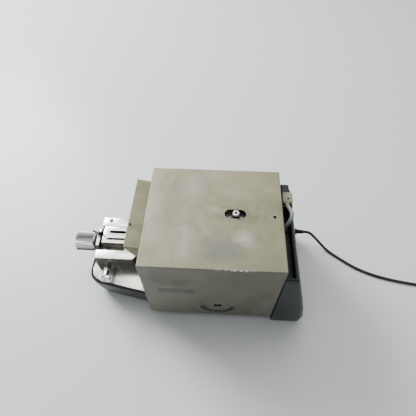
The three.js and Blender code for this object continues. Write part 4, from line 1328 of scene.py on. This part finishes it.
def build_plug(x):
    """The moulded mains plug with a waisted body, a sleeve and two pins."""
    y = COIL["y"] - 26
    angles = [math.tau * (i + 0.5) / 40 for i in range(40)]
    rings = []
    for along, half_x, half_z, z in PLUG_SECTIONS:
        rings.append([(x + half_x * softened(math.cos(a)), along, z + half_z * softened(math.sin(a)))
                      for a in angles])
    body = loft("plug", rings)
    sleeve = lathe("sleeve", "y", (x, PLUG["z"]), [
        (0, -105), (4.5, -105), (4.4, -98), (3.5, y - 0.2), (0, y - 0.2)], 32)
    plug = piece("lead_plug", fuse("plug", body, sleeve), "black", "mains_plug", angle=50)
    half = PLUG["pin_spacing"] / 2
    pin = [(0, -160), (1.8, -160), (2.4, -159.2), (2.4, -141), (0, -141)]
    pins = [lathe("pin", "y", (x + side, PLUG["pin_z"]), pin, 24) for side in (-half, half)]
    return plug, attach(link_mesh("plug_pins", fuse("pins", *pins)), "brass", "mains_plug")


def build_ties():
    """Two flat ties round the coil's bundle of turns."""
    flatten = Matrix.Diagonal((1.36, 0.87, 1, 1))
    stand = Matrix.Rotation(math.pi / 2, 4, "X")
    ties = []
    for angle in (math.pi * 0.8, math.pi * 1.55):
        tie = lathe("tie", "z", (0, 0), [(7.2, -1.4), (7.8, -1.4), (7.8, 1.4), (7.2, 1.4), (7.2, -1.4)], 40)
        tie.transform(flatten)
        x = COIL["x"] + COIL["mean"] * math.cos(angle)
        y = COIL["y"] + COIL["mean"] * math.sin(angle)
        tie.transform(Matrix.Translation(mm(x, y, 6.9)) @ Matrix.Rotation(angle, 4, "Z") @ stand)
        ties.append(tie)
    return attach(link_mesh("coil_ties", fuse("ties", *ties)), "black", "cord_coil")


def build_lead():
    gland = build_gland()
    tail_x = COIL["x"] + COIL["mean"] + 6.6
    points = lead_points(tail_x)
    lead = curve_piece("mains_lead", points, CORD["r"], 6)
    settle(lead, "jacket", "mains_cord", "cord_coil")
    plug, pins = build_plug(tail_x)
    ties = build_ties()


# ---------- feed and specimen slide ----------
def round_bar(name, axis, node_name, material, radius):
    """A ground rod with small end chamfers where the CAD rod lies."""
    low, high = (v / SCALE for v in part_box(node_name))
    k = "xyz".index(axis)
    others = [i for i in range(3) if i != k]
    centre = tuple((low[i] + high[i]) / 2 for i in others)
    a, b = low[k], high[k]
    profile = [(0, a), (radius - 0.6, a), (radius, a + 0.6), (radius, b - 0.6), (radius - 0.6, b), (0, b)]
    return piece(name, lathe(name, axis, centre, profile, 48), material, node_name)


def build_post():
    """The dark post with its hexagonal foot and the white tip that shows in the cover's slot."""
    x, y, r, bore, foot, top = (POST[key] for key in ("x", "y", "r", "bore", "foot", "top"))
    tip = top - POST["white"]
    start = foot + 2.7
    stem = lathe("stem", "z", (x, y), [
        (bore, start), (r - 1.2, start), (r - 1.2, tip), (bore, tip), (bore, start)], 64)
    base = eased("base", prism("base", "z", foot, foot + 2.9, circle(x, y, 9.5, 6)), 0.4, 2)
    piece("post_stem", fuse("post", stem, base), "dark_steel", "post")
    ring = lathe("ring", "z", (x, y), [
        (bore, tip), (r - 0.4, tip), (r, tip + 0.4), (r, top - 0.9), (r - 0.3, top - 0.25), (r - 1, top),
        (bore + 0.4, top), (bore, top - 0.4), (bore, tip)], 64)
    smooth(ring)
    attach(link_mesh("post_white_tip", ring), "white", "post")
    # Painted shade: a black disc set just below the top of the bore stands in for the shade inside it.
    depth = top - 1.6
    dark = lathe("bore", "z", (x, y), [
        (0, depth - 6), (bore - 0.05, depth - 6), (bore - 0.05, depth), (0, depth - 1.2)], 32)
    attach(link_mesh("post_bore_shade_disc", dark), "rubber", "post")


def build_specimen_clamp():
    spot = (SPECIMEN_CLAMP["x"], SPECIMEN_CLAMP["y"])
    a = CRANK["z"]
    body = lathe("screw", "z", spot, [
        (0, a + 11), (3, a + 11), (3, a + 21), (5.8, a + 21.5), (6.4, a + 22), (6.4, a + 30),
        (5.8, a + 31), (0, a + 31)], 48)
    grip = knurled_head("z", spot, a + 22.4, a + 29.8, 7, 36, MATERIALS["chrome"])
    piece("specimen_clamp_knob", fuse("screw", body, grip), "chrome", "specimen_clamp_screw")


def build_feed():
    for name in ("rod_block_front", "rod_block_rear", "carriage_plate", "top_bridge"):
        refine(name, "aluminium", 0.8, 3)
    round_bar("guide_rod_near", "x", "guide_rod_left", "chrome", 5)
    round_bar("guide_rod_far", "x", "guide_rod_right", "chrome", 5)
    round_bar("column_rod_front", "z", "column_front", "chrome", 7)
    round_bar("column_rod_rear", "z", "column_rear", "chrome", 7)
    low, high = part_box("feed_screw")
    screw = thread_mesh("x", (FEED["y"], FEED["z"]), low.x / SCALE, high.x / SCALE, FEED["r"], FEED["pitch"],
                        MATERIALS["steel"])
    piece("feed_screw_thread", screw, "steel", "feed_screw")
    refine("ratchet_wheel", "brass", 0.15, 1)
    refine("pawl", "steel", 0.3)
    build_post()
    refine("stroke_slide", "aluminium", 0.8, 3)
    refine("specimen_arm", "steel", 1.2, 3)
    refine("clamp_head", "nickel", 0.8, 3)
    build_specimen_clamp()


# ---------- drive ----------
def wheel_rim(r, bore):
    """Profile of a belt wheel from its near face round the groove to its far face."""
    return [(bore, 60), (r + 1.6, 60), (r + 2, 60.4), (r + 2, 61.6), (r, 62), (r - 0.6, 62.2),
            (r - 0.6, 69.8), (r, 70), (r + 2, 70.4), (r + 2, 71.6), (r + 1.6, 72)]


def build_crank_wheel():
    """The big belt wheel: flanged, dished towards its hub and bored for the crank shaft."""
    r, hub, bore = CRANK["pulley"], 9, CRANK["shaft_bore"]
    dish = [(r - 5, 72), (r - 6, 69), (hub + 2, 69), (hub, 72)]
    profile = wheel_rim(r, bore) + dish + [(bore, 72), (bore, 60)]
    wheel = lathe("crank_belt_wheel", "y", (CRANK["x"], CRANK["z"]), profile, 96)
    piece("crank_belt_wheel", fuse("crank_belt_wheel", wheel), "aluminium", "crank_pulley")


def build_motor_wheel():
    """The small belt wheel with the motor's shaft."""
    spot = (CRANK["x"], CRANK["motor_z"])
    r = CRANK["shaft"]
    wheel = lathe("motor_belt_wheel", "y", spot, wheel_rim(CRANK["motor_pulley"], 0) + [(0, 72)], 96)
    shaft = lathe("shaft", "y", spot, [(0, 71), (r, 71), (r, 78.6), (r - 0.4, 79), (0, 79)], 32)
    piece("motor_belt_wheel", fuse("motor_belt_wheel", wheel, shaft), "aluminium", "motor_pulley")


def build_motor():
    spot = (CRANK["x"], MOTOR["z"])
    r = MOTOR["r"]
    can = lathe("motor", "y", spot, [
        (0, 80.3), (r - 0.7, 80.3), (r, 81), (r, 84), (r - 0.9, 84.4), (r - 0.9, 102), (r, 102.4), (r, 105.2),
        (r - 0.9, 106), (9, 106), (8, 106.6), (8, 107.6), (7.4, 108), (0, 108)], 96)
    fins = ring_of_bars("y", spot, 93.2, MOTOR["fins"], 22.6, (1.1, 1.1, 17), MATERIALS["black"])
    piece("motor_can", fuse("motor", can, fins), "black", "drive_motor")


def build_drive():
    refine("crank", "steel", 0.6, 3)
    refine("crank_bracket", "aluminium", 0.8, 3)
    refine("motor_bracket", "aluminium", 0.6)
    build_crank_wheel()
    build_motor_wheel()
    refine("drive_belt", "rubber", 0.3)
    build_motor()


def build_selector():
    round_bar("selector_spindle", "y", "selector_shaft", "steel", 4)
    refine("selector_bracket", "aluminium", 0.5)
    refine("selector_cam", "brass", 0.4)


def build_floor():
    mesh = bpy.data.meshes.new("floor")
    half = FLOOR_HALF
    corners = [(-half, -half, 0), (half, -half, 0), (half, half, 0), (-half, half, 0)]
    mesh.from_pydata(corners, [], [(0, 1, 2, 3)])
    floor = link_mesh("floor", mesh)
    top = Finish("table_top", (0.78, 0.79, 0.79), 0.34)
    top.roughen(top.group(BLOTCHES, Scale=3.0, From=0.4, To=0.7), 0.08)
    top.bump(top.group(GRAIN, Scale=90.0), 0.0002, 0.15)
    mesh.materials.append(top.material)


make_camera()
build_lead()
make_light()
build_floor()
build_cover()
build_visor()
build_dial()
build_base()
build_stage()
build_housing()
build_connector()
build_feed()
build_drive()
build_selector()
